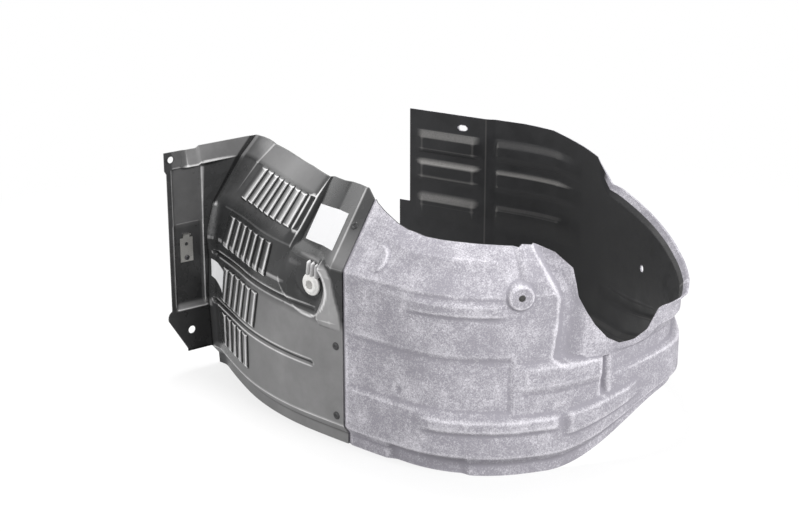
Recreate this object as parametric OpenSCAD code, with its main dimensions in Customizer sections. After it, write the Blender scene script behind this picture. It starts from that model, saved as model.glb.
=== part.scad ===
// Wheel arch liner for a front wheel, standing on its outer edge.
// +Z is the wheel's axis, pointing away from the fender, and the origin lies near that axis on the
// plane of the outer edge. The wall's height is across the car. +X points to the crown.

/* [Plan of the arch] */
// X of the wall's front end
start_x = -398.6; // [-440:0.2:-360]
// Y of the wall's front end
start_y = -158; // [-200:1:-120]
// Straight run beside the mounting flange
flare_run = 15; // [13:1:20]
// Short bend from the flare into the front leg
flare_bend_run = 16; // [10:1:25]
// Turn of that bend, away from the wheel
flare_turn = -24; // [-30:1:-15]
// Front leg, along the wall
front_leg_run = 342; // [330:1:360]
// Turn of the front leg
front_leg_turn = 35; // [30:1:40]
// Nearly straight run past the seam
flat_run = 209; // [195:1:225]
// Turn of that run
flat_turn = 5; // [2:1:10]
// Front shoulder of the crown
shoulder_run = 209; // [195:1:225]
// Turn of the front shoulder
shoulder_turn = 52; // [46:1:58]
// Crown, below the strut cut-out
crown_run = 291; // [280:1:305]
// Turn of the crown
crown_turn = 34; // [28:1:40]
// Tight bend behind the strut cut-out
tower_bend_run = 100; // [90:1:115]
// Turn of the tight bend
tower_bend_turn = 38; // [32:1:42]
// Long run behind the strut tower
tower_side_run = 384; // [370:1:400]
// Turn of that run
tower_side_turn = 31; // [26:1:36]
// Rear shoulder
rear_shoulder_run = 242; // [230:1:260]
// Turn of the rear shoulder
rear_shoulder_turn = 33; // [28:1:38]
// Straight rear leg, parallel to X
rear_leg_run = 250; // [230:1:270]

/* [Section of the wall] */
// Thickness of the felt
felt_t = 3; // [2.4:0.1:4]
// Thickness of the plastic panel
panel_t = 2.5; // [2:0.1:3]
// How far the outer lip is set in from the wall
lip_inset = 12; // [8:1:16]
// Height of the outer lip
lip_h = 20; // [16:1:24]
// Height at which the lip's slope meets the wall
lip_top = 36; // [32:1:40]
// Height at which the wall starts to lean over the wheel
kink_z = 315; // [310:1:320]
// How far the wall leans in for each millimetre above the kink
lean = 0.77; // [0.6:0.01:0.9]
// Extra inset of the rolled rim
rim_roll = 10; // [4:1:14]

/* [Felt shell] */
// Height of the rim in front of the strut cut-out
rim_front = 380; // [370:1:390]
// Height of the rim where it meets the panel
rim_seam = 418; // [410:1:420]
// Height of the strut cut-out's lowest point
cutout_z = 206; // [200:1:214]
// Height of the step behind the strut cut-out
notch_z = 246; // [238:1:254]
// Height of the rim behind the tower, before it rises to the rear leg
tower_rim = 310; // [300:1:318]
// Height of the rim on the rear leg
rim_rear = 386; // [378:1:392]
// Outward roll of the rim behind the tower
tower_roll = 13; // [8:1:16]
// How far the outer lip rises at the crown
crown_rise = 88; // [70:1:95]
// Depth of the pressed beads
bead_d = 6; // [3:0.5:7]
// Depth of the flat beside the strut cut-out
tower_flat_d = 16; // [10:1:18]
// How far the strut pillar stands proud
pillar_d = 8; // [4:0.5:10]
// Depth of the hollow between the pillar and the strut cut-out
hollow_d = 12; // [5:0.5:13]
// Radius of the raised pad around the screw hole
pad_r = 22; // [21:1:24]
// Height of the raised pad
pad_d = 6; // [4:0.5:7]
// Place of the screw hole along the wall
pad_s = 785; // [775:1:792]
// Height of the screw hole
pad_z = 314; // [310:1:318]
// Diameter of the screw hole
pad_hole_d = 12; // [8:0.5:14]
// Place of the rear wall's round hole along the wall
rear_hole_s = 1446; // [1430:1:1460]
// Height of the rear wall's round hole
rear_hole_z = 185; // [175:1:200]
// Diameter of the rear wall's round hole
rear_hole_d = 13; // [9:0.5:15]
// Place of the rear leg's slot along the wall
slot_s = 1937; // [1925:1:1950]
// Height of the rear leg's slot
slot_z = 361; // [355:1:366]
// Width of the slot
slot_w = 11; // [8:0.5:13]
// Length of the slot
slot_l = 19; // [16:0.5:24]
// Extra length of the foot at the lower end of the rear leg
foot_run = 24; // [15:1:30]

/* [Front panel] */
// Place of the panel's rear edge along the wall
seam_s = 458; // [455:1:462]
// How far the panel laps over the felt
lap = 26; // [22:1:28]
// Gap between the panel and the felt below it
lap_gap = 0.3; // [0.2:0.05:0.6]
// Height of the panel's top edge over the louvres
panel_top = 423; // [420:1:426]
// How much more the band above the louvres leans in
band_lean = 8; // [4:0.5:12]
// Height of the panel's top edge beside the seam
bay_top = 430; // [425:1:434]
// How far the bay beside the louvres is set back
bay_d = 10; // [6:1:14]
// How far the wall stands out beside the flange
belly = 30; // [20:1:35]
// Inward slope of the louvred faces below the kink
louvre_lean = 30; // [20:1:34]
// First louvre lip along the wall
louvre_s = 78; // [74:1:80]
// Pitch of the louvres
louvre_pitch = 27; // [26:0.1:27.5]
// Width of each louvre's slot
louvre_gap = 1.5; // [1.2:0.1:3]
// Height of each louvre's lip above the wall
louvre_h = 3.5; // [2:0.5:6]
// Length of the sloping ends of the louvres
louvre_end = 3; // [2:0.5:4]
// Depth of the grooves between the louvre rows
groove_d = 4; // [2:0.5:5]
// Depth of the channel between the top louvres and the bay
channel_d = 5; // [2:0.5:7]
// Height of the raised leaf beside the grommet
leaf_h = 10; // [4:0.5:12]

/* [Grommet] */
// Place of the grommet along the wall
grommet_s = 370; // [368:1:374]
// Height of the grommet
grommet_z = 266; // [262:1:268]
// Radius of the pocket around the grommet
pocket_r = 52; // [46:1:54]
// Depth of the pocket
pocket_d = 12; // [8:1:14]
// Radius of the grommet's seat
seat_r = 26; // [25.5:0.5:28]
// Outer radius of the grommet's flange
grommet_r = 20; // [16:0.5:20]
// Radius of the grommet's hole
grommet_hole_r = 8; // [5:0.5:9]
// Height of the grommet above its seat
grommet_h = 7; // [5:0.5:10]
// Width of each rib above the grommet
rib_w = 5; // [3:0.5:8]
// Pitch of those ribs
rib_pitch = 12; // [10:0.5:13]

/* [Mounting flange] */
// How far the flange reaches out from the wall
flange_w = 97; // [92:1:102]
// Height of the flange's top edge
flange_top = 428; // [424:1:432]
// Height of the flange's bottom edge
flange_bottom = 42; // [40:1:46]
// Depth of the flange's recessed floor
tray_d = 6; // [4:0.5:8]
// How far the floor's upper half stands above its lower half
shelf_d = 2.5; // [1:0.5:4]
// How far the flange's top band stands proud at its lower edge
brow_d = 9; // [5:0.5:12]
// Distance of the upper ear's hole from the wall
ear_hole_u = 88; // [86:0.5:90]
// Height of the upper ear's hole
ear_hole_z = 410; // [408:1:413]
// Diameter of the upper ear's hole
ear_hole_d = 12.5; // [8:0.5:13]
// Distance of the lower ear's hole from the wall
foot_hole_u = 58; // [54:1:62]
// Height of the lower ear's hole
foot_hole_z = 78; // [74:1:82]
// Diameter of the lower ear's hole
foot_hole_d = 15; // [10:0.5:16]

/* [Fasteners] */
// Distance of the rivets from the panel's rear edge
rivet_inset = 15; // [13:1:18]
// Height of the lowest rivet
rivet_low_z = 52; // [48:1:60]
// Height of the middle rivet
rivet_mid_z = 178; // [165:1:185]
// Height of the rivet above the kink
rivet_high_z = 378; // [370:1:385]
// Radius of a rivet's head
rivet_r = 7; // [5:0.5:8]
// Height of a rivet's head
rivet_h = 2.5; // [1.5:0.1:3]
// Radius of a rivet's shank
rivet_shank_r = 3.2; // [2.5:0.1:4]
// Distance of the spring clip's middle from the wall
clip_u = 60; // [56:1:64]
// Height of the spring clip's middle
clip_z = 234; // [226:1:240]
// Width of the spring clip
clip_w = 26; // [20:1:30]
// Height of the spring clip
clip_h = 46; // [38:1:52]
// Thickness of the spring steel
clip_t = 1.2; // [0.8:0.1:1.6]
// Radius of the clip screw's head
screw_r = 5; // [4:0.25:6]
// Radius of the clip screw's shank
screw_shank_r = 2.4; // [2:0.1:3]

/* [Hidden] */
$fn = 36;
eps = 0.01;
// Clearance of what passes through a hole or seats on a face
fit = 0.15;
// Length of the tools that cut the holes
cut = 60;

plan_runs = [
  [flare_run, 0], [flare_bend_run, flare_turn], [front_leg_run, front_leg_turn], [flat_run, flat_turn],
  [shoulder_run, shoulder_turn], [crown_run, crown_turn], [tower_bend_run, tower_bend_turn],
  [tower_side_run, tower_side_turn], [rear_shoulder_run, rear_shoulder_turn], [rear_leg_run, 0]
];
function total(list, k, n) = n == 0 ? 0 : list[n - 1][k] + total(list, k, n - 1);
wall_len = total(plan_runs, 0, len(plan_runs));
start_heading = 180 - total(plan_runs, 1, len(plan_runs));

// End of a run of length l that turns by t degrees, from point p and heading h
function advance(p, h, l, t) =
  t == 0 ? p + l * [cos(h), sin(h)]
         : p + l / (t * PI / 180) * [sin(h + t) - sin(h), cos(h) - cos(h + t)];
// Each run's start: distance along the wall, point, heading
run_starts = [for (i = 0, s = 0, p = [start_x, start_y], h = start_heading; i < len(plan_runs);
  p = advance(p, h, plan_runs[i][0], plan_runs[i][1]), h = h + plan_runs[i][1],
  s = s + plan_runs[i][0], i = i + 1) [s, p, h]];
function run_at(s, i = 0) = i + 1 < len(run_starts) && s >= run_starts[i + 1][0] ? run_at(s, i + 1) : i;
function turn_at(s, i) = plan_runs[i][1] * (s - run_starts[i][0]) / plan_runs[i][0];
function heading(s) = let (i = run_at(s)) run_starts[i][2] + turn_at(s, i);
function wall_point(s) = let (i = run_at(s))
  advance(run_starts[i][1], run_starts[i][2], s - run_starts[i][0], turn_at(s, i));
// Unit vector towards the wheel at s
function inward(s) = [-sin(heading(s)), cos(heading(s))];
// Point at s along the wall, height z and inset d towards the wheel
function at(s, z, d) = let (q = wall_point(s) + d * inward(s)) [q[0], q[1], z];

// Steps from 0 at a to 1 at b, and windows that open from w[0] to w[1] and close from w[2] to w[3]
function clamp01(x) = min(1, max(0, x));
function ramp(a, b, x) = clamp01((x - a) / (b - a));
function ease(a, b, x) = let (t = ramp(a, b, x)) t * t * (3 - 2 * t);
function window(w, x) = ramp(w[0], w[1], x) * (1 - ramp(w[2], w[3], x));
// Sum of pressed reliefs, each [depth, window along the wall, window by level]
function pressed(list, s, v, i = 0) = i == len(list) ? 0
  : list[i][0] * window(list[i][1], s) * window(list[i][2], v) + pressed(list, s, v, i + 1);
// Stations between key places, no further apart than the step
function stations(keys, step) = [
  for (i = [0 : len(keys) - 2], n = ceil((keys[i + 1] - keys[i]) / step), k = [0 : n - 1])
    keys[i] + (keys[i + 1] - keys[i]) * k / n,
  keys[len(keys) - 1]
];

// A moulded sheet: a grid of face points and of back points, columns by rows, and the cells kept
module sheet(face, back, kept) {
  nc = len(face);
  nr = len(face[0]);
  points = concat([for (c = face, p = c) p], [for (c = back, p = c) p]);
  function f(i, j) = i * nr + j;
  function b(i, j) = nc * nr + i * nr + j;
  function has(i, j) = i >= 0 && j >= 0 && i < nc - 1 && j < nr - 1 && kept[i][j];
  function quad(p, q, r, s) = [[p, q, r], [p, r, s]];
  faces = [for (i = [0 : nc - 2], j = [0 : nr - 2]) if (has(i, j)) each concat(
    quad(f(i, j), f(i, j + 1), f(i + 1, j + 1), f(i + 1, j)),
    quad(b(i, j), b(i + 1, j), b(i + 1, j + 1), b(i, j + 1)),
    has(i, j - 1) ? [] : quad(f(i, j), f(i + 1, j), b(i + 1, j), b(i, j)),
    has(i, j + 1) ? [] : quad(f(i + 1, j + 1), f(i, j + 1), b(i, j + 1), b(i + 1, j + 1)),
    has(i - 1, j) ? [] : quad(f(i, j + 1), f(i, j), b(i, j), b(i, j + 1)),
    has(i + 1, j) ? [] : quad(f(i + 1, j), f(i + 1, j + 1), b(i + 1, j + 1), b(i + 1, j)))];
  polyhedron(points, faces, convexity = 12);
}
// Across the wall at s and z: the child's +Z points towards the wheel, from inset d on
module across(s, z, d) {
  translate(at(s, z, d)) rotate([0, 90, heading(s) + 90]) children();
}
// A round hole through the wall at s and z
module wall_hole(s, z, diameter, d = 0) {
  across(s, z, d - cut / 2) cylinder(d = diameter, h = cut);
}
// Horizontal reach of a sheet of thickness t whose inset grows by g for each millimetre of height
function reach(t, g) = t * min(2.2, sqrt(1 + g * g));

// Felt shell. A level v runs from 0 at the lip to level_rim at the rim, and its height follows the rim.
level_base = 190;
level_kink = 315;
level_rim = 380;
felt_start = seam_s - lap;
cut_a = 859;
cut_b = 1071;
tower_a = 1155;
rear_a = 1590;
jog_s = 1876;
felt_rim_marks = [
  [felt_start, rim_seam - 6], [seam_s + 2, rim_seam], [522, 394], [545, 388], [582, rim_front + 4],
  [676, rim_front + 4], [744, rim_front + 2], [797, rim_front - 1], [803, rim_front + 3],
  [823, rim_front + 1], [cut_a, 370], [878, 350], [889, 300], [903, 271], [917, 250], [943, 222],
  [970, cutout_z + 1], [987, cutout_z], [1004, cutout_z], [1034, 215], [1050, 232], [1062, 244],
  [cut_b, notch_z], [tower_a, notch_z], [1172, 262], [1293, 270], [1387, 282], [1494, 297],
  [rear_a - 8, tower_rim], [rear_a + 12, 334], [1620, 355], [1661, 366], [1737, rim_rear - 3],
  [1804, rim_rear], [wall_len + foot_run, rim_rear]
];
function felt_rim(s) = lookup(s, felt_rim_marks);
function felt_bottom(s) = crown_rise * ease(840, 1110, s) * (1 - ease(1250, 1540, s));
function kink_at(s) = min(kink_z, level_base + (felt_rim(s) - level_base) *
  (level_kink - level_base) / (level_rim - level_base));
// Height of level v at s
function felt_z(s, v) = let (low = felt_bottom(s), mid = kink_at(s))
  v < level_base ? low + v * (level_base - low) / level_base
  : v < level_kink ? level_base + (v - level_base) * (mid - level_base) / (level_kink - level_base)
  : mid + (v - level_kink) * (felt_rim(s) - mid) / (level_rim - level_kink);
// How much of the lean over the wheel is left at s
function lean_share(s) = 1 - ease(cut_a - 34, cut_a + 36, s);
// Lip and lean, shared by the felt and the panel
function lip(v) = lip_inset * (1 - ramp(lip_h, lip_top, v));
function leaning(z) = lean * max(0, z - kink_z);

// Beads, steps and pads pressed into the felt. An outward relief has a negative depth.
always = [-2, -1, 3000, 3001];
felt_reliefs = [
  [-bead_d * 0.8, [582, 620, 744, 765], [278, 284, 300, 308]],
  [bead_d * 0.4, [475, 522, 744, 765], [300, 308, 344, 362]],
  [bead_d * 0.7, [seam_s + 8, seam_s + 32, 765, 776], [108, 120, 200, 214]],
  [bead_d * 1.3, [522, 582, 694, 744], [-2, -1, lip_h, lip_top]],
  [-bead_d, [610, 640, 846, 859], [76, 84, 100, 108]],
  [-bead_d, [866, 878, 987, 1020], [62, 68, 100, 108]],
  [-bead_d * 0.8, [776, 797, 933, 943], [145, 158, 190, 200]],
  [bead_d * 1.4, [933, 938, 943, 950], [108, 120, 190, 200]],
  [tower_flat_d, [940, tower_a, 1180, 1330], [145, 158, 214, 278]],
  [-tower_roll, [1080, 1150, rear_a - 30, rear_a + 20], [344, level_rim, 900, 901]],
  [-bead_d, [1250, 1293, 1540, 1602], [76, 84, 100, 108]],
  [bead_d, [1661, 1720, jog_s - 16, jog_s - 8], [300, 315, 330, 344]],
  [bead_d, [1661, 1720, jog_s - 16, jog_s - 8], [240, 250, 278, 284]],
  [bead_d, [1661, 1720, jog_s - 16, jog_s - 8], [158, 190, 200, 214]],
  [bead_d, [jog_s + 16, jog_s + 36, wall_len - 30, wall_len - 12], [300, 308, 330, 344]],
  [bead_d, [jog_s + 16, jog_s + 36, wall_len - 30, wall_len - 12], [240, 250, 278, 284]],
  [bead_d, [jog_s + 16, jog_s + 36, wall_len - 30, wall_len - 12], [158, 190, 200, 214]],
  [bead_d, [jog_s - 8, jog_s + 9, 3000, 3001], always]
];
// Rear edge of the strut pillar at height z: the pillar is in front of it and the hollow behind it
function pillar_edge(z) = lookup(z, [[188, 859], [202, 840], [252, 847], [301, 851], [337, 836], [373, 823]]);
function pillar(s, z) = let (e = pillar_edge(z))
  -pillar_d * ramp(788, 797, s) * (1 - ramp(e, e + 12, s)) * ramp(pad_z + 4, pad_z + 22, z);
function hollow(s, z) = let (e = pillar_edge(z))
  hollow_d * ramp(e - 2, e + 14, s) * ramp(188, 202, z) * (1 - ramp(e + 30, e + 56, s));
lap_room = 1.3;
function under_panel(s) = (panel_t + lap_gap) * lap_room * (1 - ramp(seam_s + 1, seam_s + 8, s));
function rolled(s, v) = rim_roll * lean_share(s) * ramp(362, level_rim, v) * ramp(490, 560, s);
function felt_plain(s, v) = let (z = felt_z(s, v))
  lip(v) + leaning(z) * lean_share(s) + under_panel(s) + rolled(s, v) + pressed(felt_reliefs, s, v)
  + pillar(s, z) + hollow(s, z);
// How much of the flat pad around the screw hole there is at s and level v
function pad_share(s, v) = 1 - ramp(pad_r - 2, pad_r, norm([s - pad_s, felt_z(s, v) - pad_z]));
// Inset of the felt's face at s and level v
function felt_inset(s, v) =
  let (share = pad_share(s, v)) felt_plain(s, v) * (1 - share) - pad_d * share;

felt_cols = stations([
  felt_start, seam_s - 8, seam_s + 1, seam_s + 8, seam_s + 32, 522, 545, 582, 620, 640, 694, 744, 765,
  776, 788, 797, 810, 823, 836, 848, cut_a, 868, 878, 889, 903, 917, 933, 938, 943, 950, 970, 987, 1004, 1034, 1050,
  1062, cut_b, 1105, tower_a, 1172, 1210, 1250, 1293, 1330, rear_a - 8, rear_a + 12, 1620, 1661, 1720,
  1770, jog_s - 16, jog_s - 8, jog_s + 9, jog_s + 16, jog_s + 36, wall_len - 30, wall_len - 12, wall_len,
  wall_len + foot_run
], 56);
felt_levels = [
  0, lip_h, lip_top, 62, 76, 84, 100, 108, 120, 145, 158, level_base, 200, 214, 240, 250, 278, 284, 300,
  308, level_kink, 330, 344, 362, level_rim
];
// Steepness of the felt's section at column s and level number j, none on the pad
function felt_grade(s, j) =
  let (u = felt_levels[max(0, j - 1)], v = felt_levels[min(len(felt_levels) - 1, j + 1)])
  (1 - pad_share(s, felt_levels[j])) * (felt_inset(s, v) - felt_inset(s, u)) / (felt_z(s, v) - felt_z(s, u));

module felt_shell() {
  n = len(felt_levels);
  face = [for (s = felt_cols) [for (v = felt_levels) at(s, felt_z(s, v), felt_inset(s, v))]];
  back = [for (s = felt_cols) [for (j = [0 : n - 1]) let (v = felt_levels[j])
    at(s, felt_z(s, v), felt_inset(s, v) + reach(felt_t, felt_grade(s, j)))]];
  kept = [for (i = [0 : len(felt_cols) - 2]) [for (j = [0 : n - 2])
    felt_cols[i] < wall_len - eps || felt_levels[j] < level_base]];
  slot_shift = (slot_l - slot_w) / 2;
  color("silver") difference() {
    sheet(face, back, kept);
    wall_hole(pad_s, pad_z, pad_hole_d);
    wall_hole(rear_hole_s, rear_hole_z, rear_hole_d);
    for (side = [-1, 1]) wall_hole(slot_s + side * slot_shift, slot_z, slot_w);
    across(slot_s, slot_z, -cut / 2) translate([-slot_w / 2, -slot_shift, 0])
      cube([slot_w, 2 * slot_shift, cut]);
    for (z = rivet_zs) rivet_hole(z);
  }
}

// Front panel with its flange, one moulding. A level v is a height, stretched above row_top to the rim.
// Louvre rows: lower end, upper end, count
louvre_rows = [[57, 122, 5], [144, 209, 6], [246, 307, 7], [333, 391, 8]];
row_top = 307;
panel_kink = 322;
panel_level_top = 423;
kink_rise = 10;
groove_zs = [132, 224];
groove_half = 6;
groove_end = grommet_s + 20;
leaf_s = grommet_s + 28;
leaf_w = 6;
ridge_s = 297;
ridge_w = 6;
channel_ss = [277, 284, 290, ridge_s];
panel_levels = [
  0, lip_h, lip_top, 57, 60, 119, 122, 126, 132, 138, 144, 147, 206, 209, 218, 224, 230, 246, 249, 282,
  286, 304, row_top, panel_kink, 333, 336, 388, 391, panel_level_top
];
panel_rim_marks = [
  [0, flange_top], [30, panel_top + 3], [120, panel_top], [216, panel_top], [ridge_s - 6, panel_top - 4],
  [ridge_s + ridge_w, panel_top - 2], [352, bay_top - 6], [406, bay_top], [436, bay_top + 2],
  [seam_s, bay_top - 11]
];
function panel_kink_z(s) = kink_z + kink_rise * (1 - ramp(380, felt_start, s));
function stretched(v, mid, top) =
  v <= row_top ? v
  : v <= panel_kink ? row_top + (v - row_top) * (mid - row_top) / (panel_kink - row_top)
  : mid + (v - panel_kink) * (top - mid) / (panel_level_top - panel_kink);
function panel_z(s, v) = stretched(v, panel_kink_z(s), lookup(s, panel_rim_marks));

// The louvred faces lean in step by step, and the lean dies out towards the seam
function to_seam(s) = 1 - ramp(300, felt_start, s);
function louvre_lean_at(s, z) =
  louvre_lean * lookup(z, [[145, 0], [218, 0.37], [253, 0.37], [kink_z, 1]]) * to_seam(s);
function belly_at(s, z) =
  belly * pow(1 - ramp(0, 150, s), 2) * lookup(z, [[0, 0.45], [150, 0.75], [250, 1.1], [420, 1.2]]);
function bay_at(s, v) =
  bay_d * window([ridge_s, ridge_s + ridge_w, 380, felt_start], s) * ramp(row_top, panel_kink, v);
function band_at(s, v) =
  band_lean * ramp(391, panel_level_top, v) * (1 - ramp(ridge_s, ridge_s + ridge_w, s));
function channel_at(s, v) = channel_d * window(channel_ss, s) * window([333, 336, 388, 391], v);
function row_window(r, v) = window([r[0], r[0] + louvre_end, r[1] - louvre_end, r[1]], v);
function louvre_at(s, v) = -louvre_h * max([for (r = louvre_rows, k = [0 : r[2] - 1])
  let (lip_s = louvre_s + k * louvre_pitch, from = lip_s - louvre_pitch + louvre_gap)
  s > lip_s + eps ? 0 : ramp(from, lip_s, s) * row_window(r, v)]);
function groove_at(s, v) = groove_d * window([12, 21, groove_end - 8, groove_end], s)
  * max([for (z = groove_zs) 1 - ramp(0, groove_half, abs(v - z))]);
function leaf_edge(v) = lookup(v, [[198, 456], [234, 451], [260, 442], [296, 432], [316, 412]]);
function leaf_at(s, v) = -leaf_h * ramp(leaf_s, leaf_s + leaf_w, s)
  * (1 - ramp(leaf_s + leaf_w, leaf_edge(v), s))
  * window([206, 218, row_top, panel_kink], v);
function panel_plain(s, v) = let (z = panel_z(s, v))
  lip(v) + leaning(z) + louvre_lean_at(s, z) - belly_at(s, z) + bay_at(s, v) + band_at(s, v)
  + groove_at(s, v) + channel_at(s, v);
function pocket_reach(s, v) = norm([(s - grommet_s) / (s < grommet_s ? 1.7 : 1), v - grommet_z]);
seat_inset = panel_plain(grommet_s, grommet_z) + pocket_d;
// Inset of the panel's face at s and level v
function panel_inset(s, v) =
  let (share = 1 - ramp(seat_r, pocket_r, pocket_reach(s, v)))
  (panel_plain(s, v) + leaf_at(s, v)) * (1 - share) + seat_inset * share + louvre_at(s, v);

louvre_cols = [for (k = [0 : 7], ds = [louvre_gap - louvre_pitch, 0]) louvre_s + k * louvre_pitch + ds];
panel_cols = concat([flare_run - 3, 36], louvre_cols, [louvre_s + 7 * louvre_pitch + louvre_gap],
  channel_ss, stations([ridge_s + ridge_w, 322, grommet_s - seat_r, grommet_s, groove_end - 8,
    groove_end, leaf_s, leaf_s + leaf_w, leaf_s + 20, felt_start, seam_s - 13, seam_s], 24));
// Whether the cell that starts at s, between levels v and w, is a louvre's slot
function open_slot(s, v, w) = len([for (r = louvre_rows, k = [0 : r[2] - 1])
  if (abs(s - louvre_s - k * louvre_pitch) < eps
    && v >= r[0] + louvre_end - eps && w <= r[1] - louvre_end + eps) 1]) > 0;

// The flange folds out at the panel's front end: u is the distance from the wall, d the depth
flange_us = [flange_w, 88, 84, 57, 30, 26];
ear_u = 66;
floor_us = [26, 30, 84, 88];
flange_reliefs = [
  [-tray_d, floor_us, [122, 132, 388, 391]],
  [shelf_d, floor_us, [282, 286, 388, 391]],
  [4, [-1, 0, 84, 88], [119, 122, 122, 126]],
  [brow_d, [-1, 0, ear_u - 8, ear_u], [388, 391, 391, panel_level_top + 8]]
];
function flange_rim(u) = u > 33 ? flange_top - 4 : flange_top;
function flange_z(u, v) =
  v <= lip_top ? flange_bottom * v / lip_top : stretched(v, panel_kink_z(0), flange_rim(u));
function flange_reach(z) = lookup(z, [
  [flange_bottom, flange_w - 30], [105, flange_w + 9], [116, flange_w + 7], [122, flange_w],
  [384, flange_w], [390, flange_w + 4], [flange_top, flange_w + 4]
]);
function flange_u(k, z) = k == 0 ? flange_reach(z) : min(flange_us[k], flange_reach(z) - 4 * k - 2);
function out_from(u, d, z) =
  let (h = start_heading) [start_x + u * sin(h) + d * cos(h), start_y - u * cos(h) + d * sin(h), z];
// Places things on the flange's plane: the child's X points to the wheel and its Z to the panel's face
module on_flange(u, z, d) {
  translate(out_from(u, panel_t + d, z)) rotate([90, 0, start_heading + 90]) children();
}
module flange_hole(u, z, diameter) {
  on_flange(u, z, -cut / 2) cylinder(d = diameter, h = cut);
}
// One of the ribs that stand above the grommet, from the pocket's slope to just over the wall
module rib(s) {
  vs = [286, 295, 304, 312];
  front = [for (v = vs) [panel_plain(s, v) - 2, panel_z(s, v)]];
  rear = [for (v = vs) [panel_inset(s, v) + panel_t / 2, panel_z(s, v)]];
  translate(at(s, 0, 0)) rotate([90, 0, heading(s) + 90]) linear_extrude(rib_w, center = true)
    polygon(concat(front, [for (i = [len(vs) - 1 : -1 : 0]) rear[i]]));
}

module front_panel() {
  n = len(panel_levels);
  last = len(flange_us) - 1;
  function grade(s, j) = let (u = panel_levels[max(0, j - 1)], v = panel_levels[min(n - 1, j + 1)])
    (panel_inset(s, v) - panel_inset(s, u)) / (panel_z(s, v) - panel_z(s, u));
  function flange_side(d) = [for (k = [0 : last]) [for (v = panel_levels)
    let (z = flange_z(flange_us[k], v), u = flange_u(k, z))
    out_from(u, d + pressed(flange_reliefs, u, v), z)]];
  function fold(d, t) = [for (j = [0 : n - 1]) let (v = panel_levels[j])
    out_from(-panel_inset(0, v) - reach(t, grade(0, j)), d, panel_z(0, v))];
  function wall_side(t) = [for (s = panel_cols) [for (j = [0 : n - 1]) let (v = panel_levels[j])
    at(s, panel_z(s, v), panel_inset(s, v) + reach(t, grade(s, j)))]];
  kept = concat(
    [for (k = [0 : last]) [for (j = [0 : n - 2]) panel_levels[j] >= lip_top - eps]],
    [[for (j = [0 : n - 2]) true]],
    [for (i = [0 : len(panel_cols) - 2]) [for (j = [0 : n - 2])
      !open_slot(panel_cols[i], panel_levels[j], panel_levels[j + 1])]]);
  color("dimgray") difference() {
    union() {
      sheet(concat(flange_side(panel_t), [fold(panel_t, 0)], wall_side(0)),
        concat(flange_side(0), [fold(0, panel_t)], wall_side(panel_t)), kept);
      for (k = [-1 : 1]) rib(grommet_s + 11 + k * rib_pitch);
    }
    wall_hole(grommet_s, grommet_z, 2 * (neck_r + fit), seat_inset);
    flange_hole(ear_hole_u, ear_hole_z, ear_hole_d);
    flange_hole(foot_hole_u, foot_hole_z, foot_hole_d);
    flange_hole(clip_u, screw_z, 2 * (screw_shank_r + fit));
    for (z = rivet_zs) rivet_hole(z);
  }
}

// Grommet: an outer flange on the pocket's seat, a neck through the panel and a lip behind it
neck_r = 12;
grommet_lip = 2;
grommet_tail = 5;
module grommet() {
  back = panel_t + 3 * fit;
  color("gainsboro") across(grommet_s, grommet_z, seat_inset) rotate_extrude() polygon([
    [grommet_hole_r, -grommet_h], [grommet_r - 6, -grommet_h], [grommet_r, -grommet_h + 4],
    [grommet_r, -3 * fit], [neck_r, -3 * fit], [neck_r, back], [neck_r + grommet_lip, back],
    [neck_r, back + grommet_tail], [grommet_hole_r, back + grommet_tail]
  ]);
}

// Push rivets along the seam: head outside, shank through panel and felt, spread foot behind
rivet_zs = [rivet_low_z, rivet_mid_z, rivet_high_z];
rivet_grip = (panel_t + lap_gap) * lap_room + felt_t + 0.6;
rivet_foot = 3;
function rivet_tilt(z) = z > kink_z ? atan(lean) : 0;
module rivet_place(z) {
  translate(at(seam_s - rivet_inset, z, lip(z) + leaning(z)))
    rotate([0, 90 + rivet_tilt(z), heading(seam_s - rivet_inset) + 90]) children();
}
module rivet_hole(z) {
  rivet_place(z) translate([0, 0, -cut / 4]) cylinder(r = rivet_shank_r + fit, h = cut / 2);
}
module panel_rivets() {
  tip = rivet_grip + rivet_foot;
  color("black") for (z = rivet_zs) rivet_place(z) rotate_extrude() polygon([
    [0, -rivet_h], [rivet_r - 2, -rivet_h], [rivet_r, 1.5 - rivet_h], [rivet_r, -fit], [rivet_shank_r, -fit],
    [rivet_shank_r, rivet_grip], [rivet_r - 1, rivet_grip], [rivet_shank_r, tip], [0, tip]
  ]);
}

// Spring clip on the flange's floor, held by one screw
screw_z = clip_z - 15;
clip_hole_z = 11;
clip_hole_r = 3.5;
tab_l = 8;
tab_h = 7;
module spring_clip() {
  color("lightgray") on_flange(clip_u, clip_z, -tray_d) difference() {
    union() {
      translate([-clip_w / 2, -clip_h / 2, 0]) cube([clip_w, clip_h, clip_t]);
      translate([-clip_w / 4, clip_h / 2 - eps, 0]) cube([clip_w / 2, tab_l, clip_t]);
      translate([-clip_w / 4, clip_h / 2 + tab_l - clip_t, 0]) cube([clip_w / 2, clip_t, tab_h]);
    }
    translate([0, clip_hole_z, -1]) cylinder(r = clip_hole_r, h = cut);
    translate([0, screw_z - clip_z, -1]) cylinder(r = screw_shank_r + fit, h = cut);
  }
}
screw_l = 12;
screw_head = 3;
module clip_screw() {
  color("dimgray") on_flange(clip_u, screw_z, clip_t - tray_d) rotate_extrude() polygon([
    [0, -screw_l], [screw_shank_r, 2 - screw_l], [screw_shank_r, 0], [screw_r, 0], [screw_r, 1.2],
    [screw_r - 2, screw_head], [0, screw_head]
  ]);
}

felt_shell();
front_panel();
grommet();
panel_rivets();
spring_clip();
clip_screw();
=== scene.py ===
"""Dresses the wheel arch liner: felt shell, louvred front panel, small fittings and a plain stage."""
import functools
import itertools
import math
from collections import namedtuple

import bmesh
import bpy
import numpy as np
from bpy.props import FloatProperty, FloatVectorProperty, PointerProperty
from mathutils import Matrix, Vector


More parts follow.
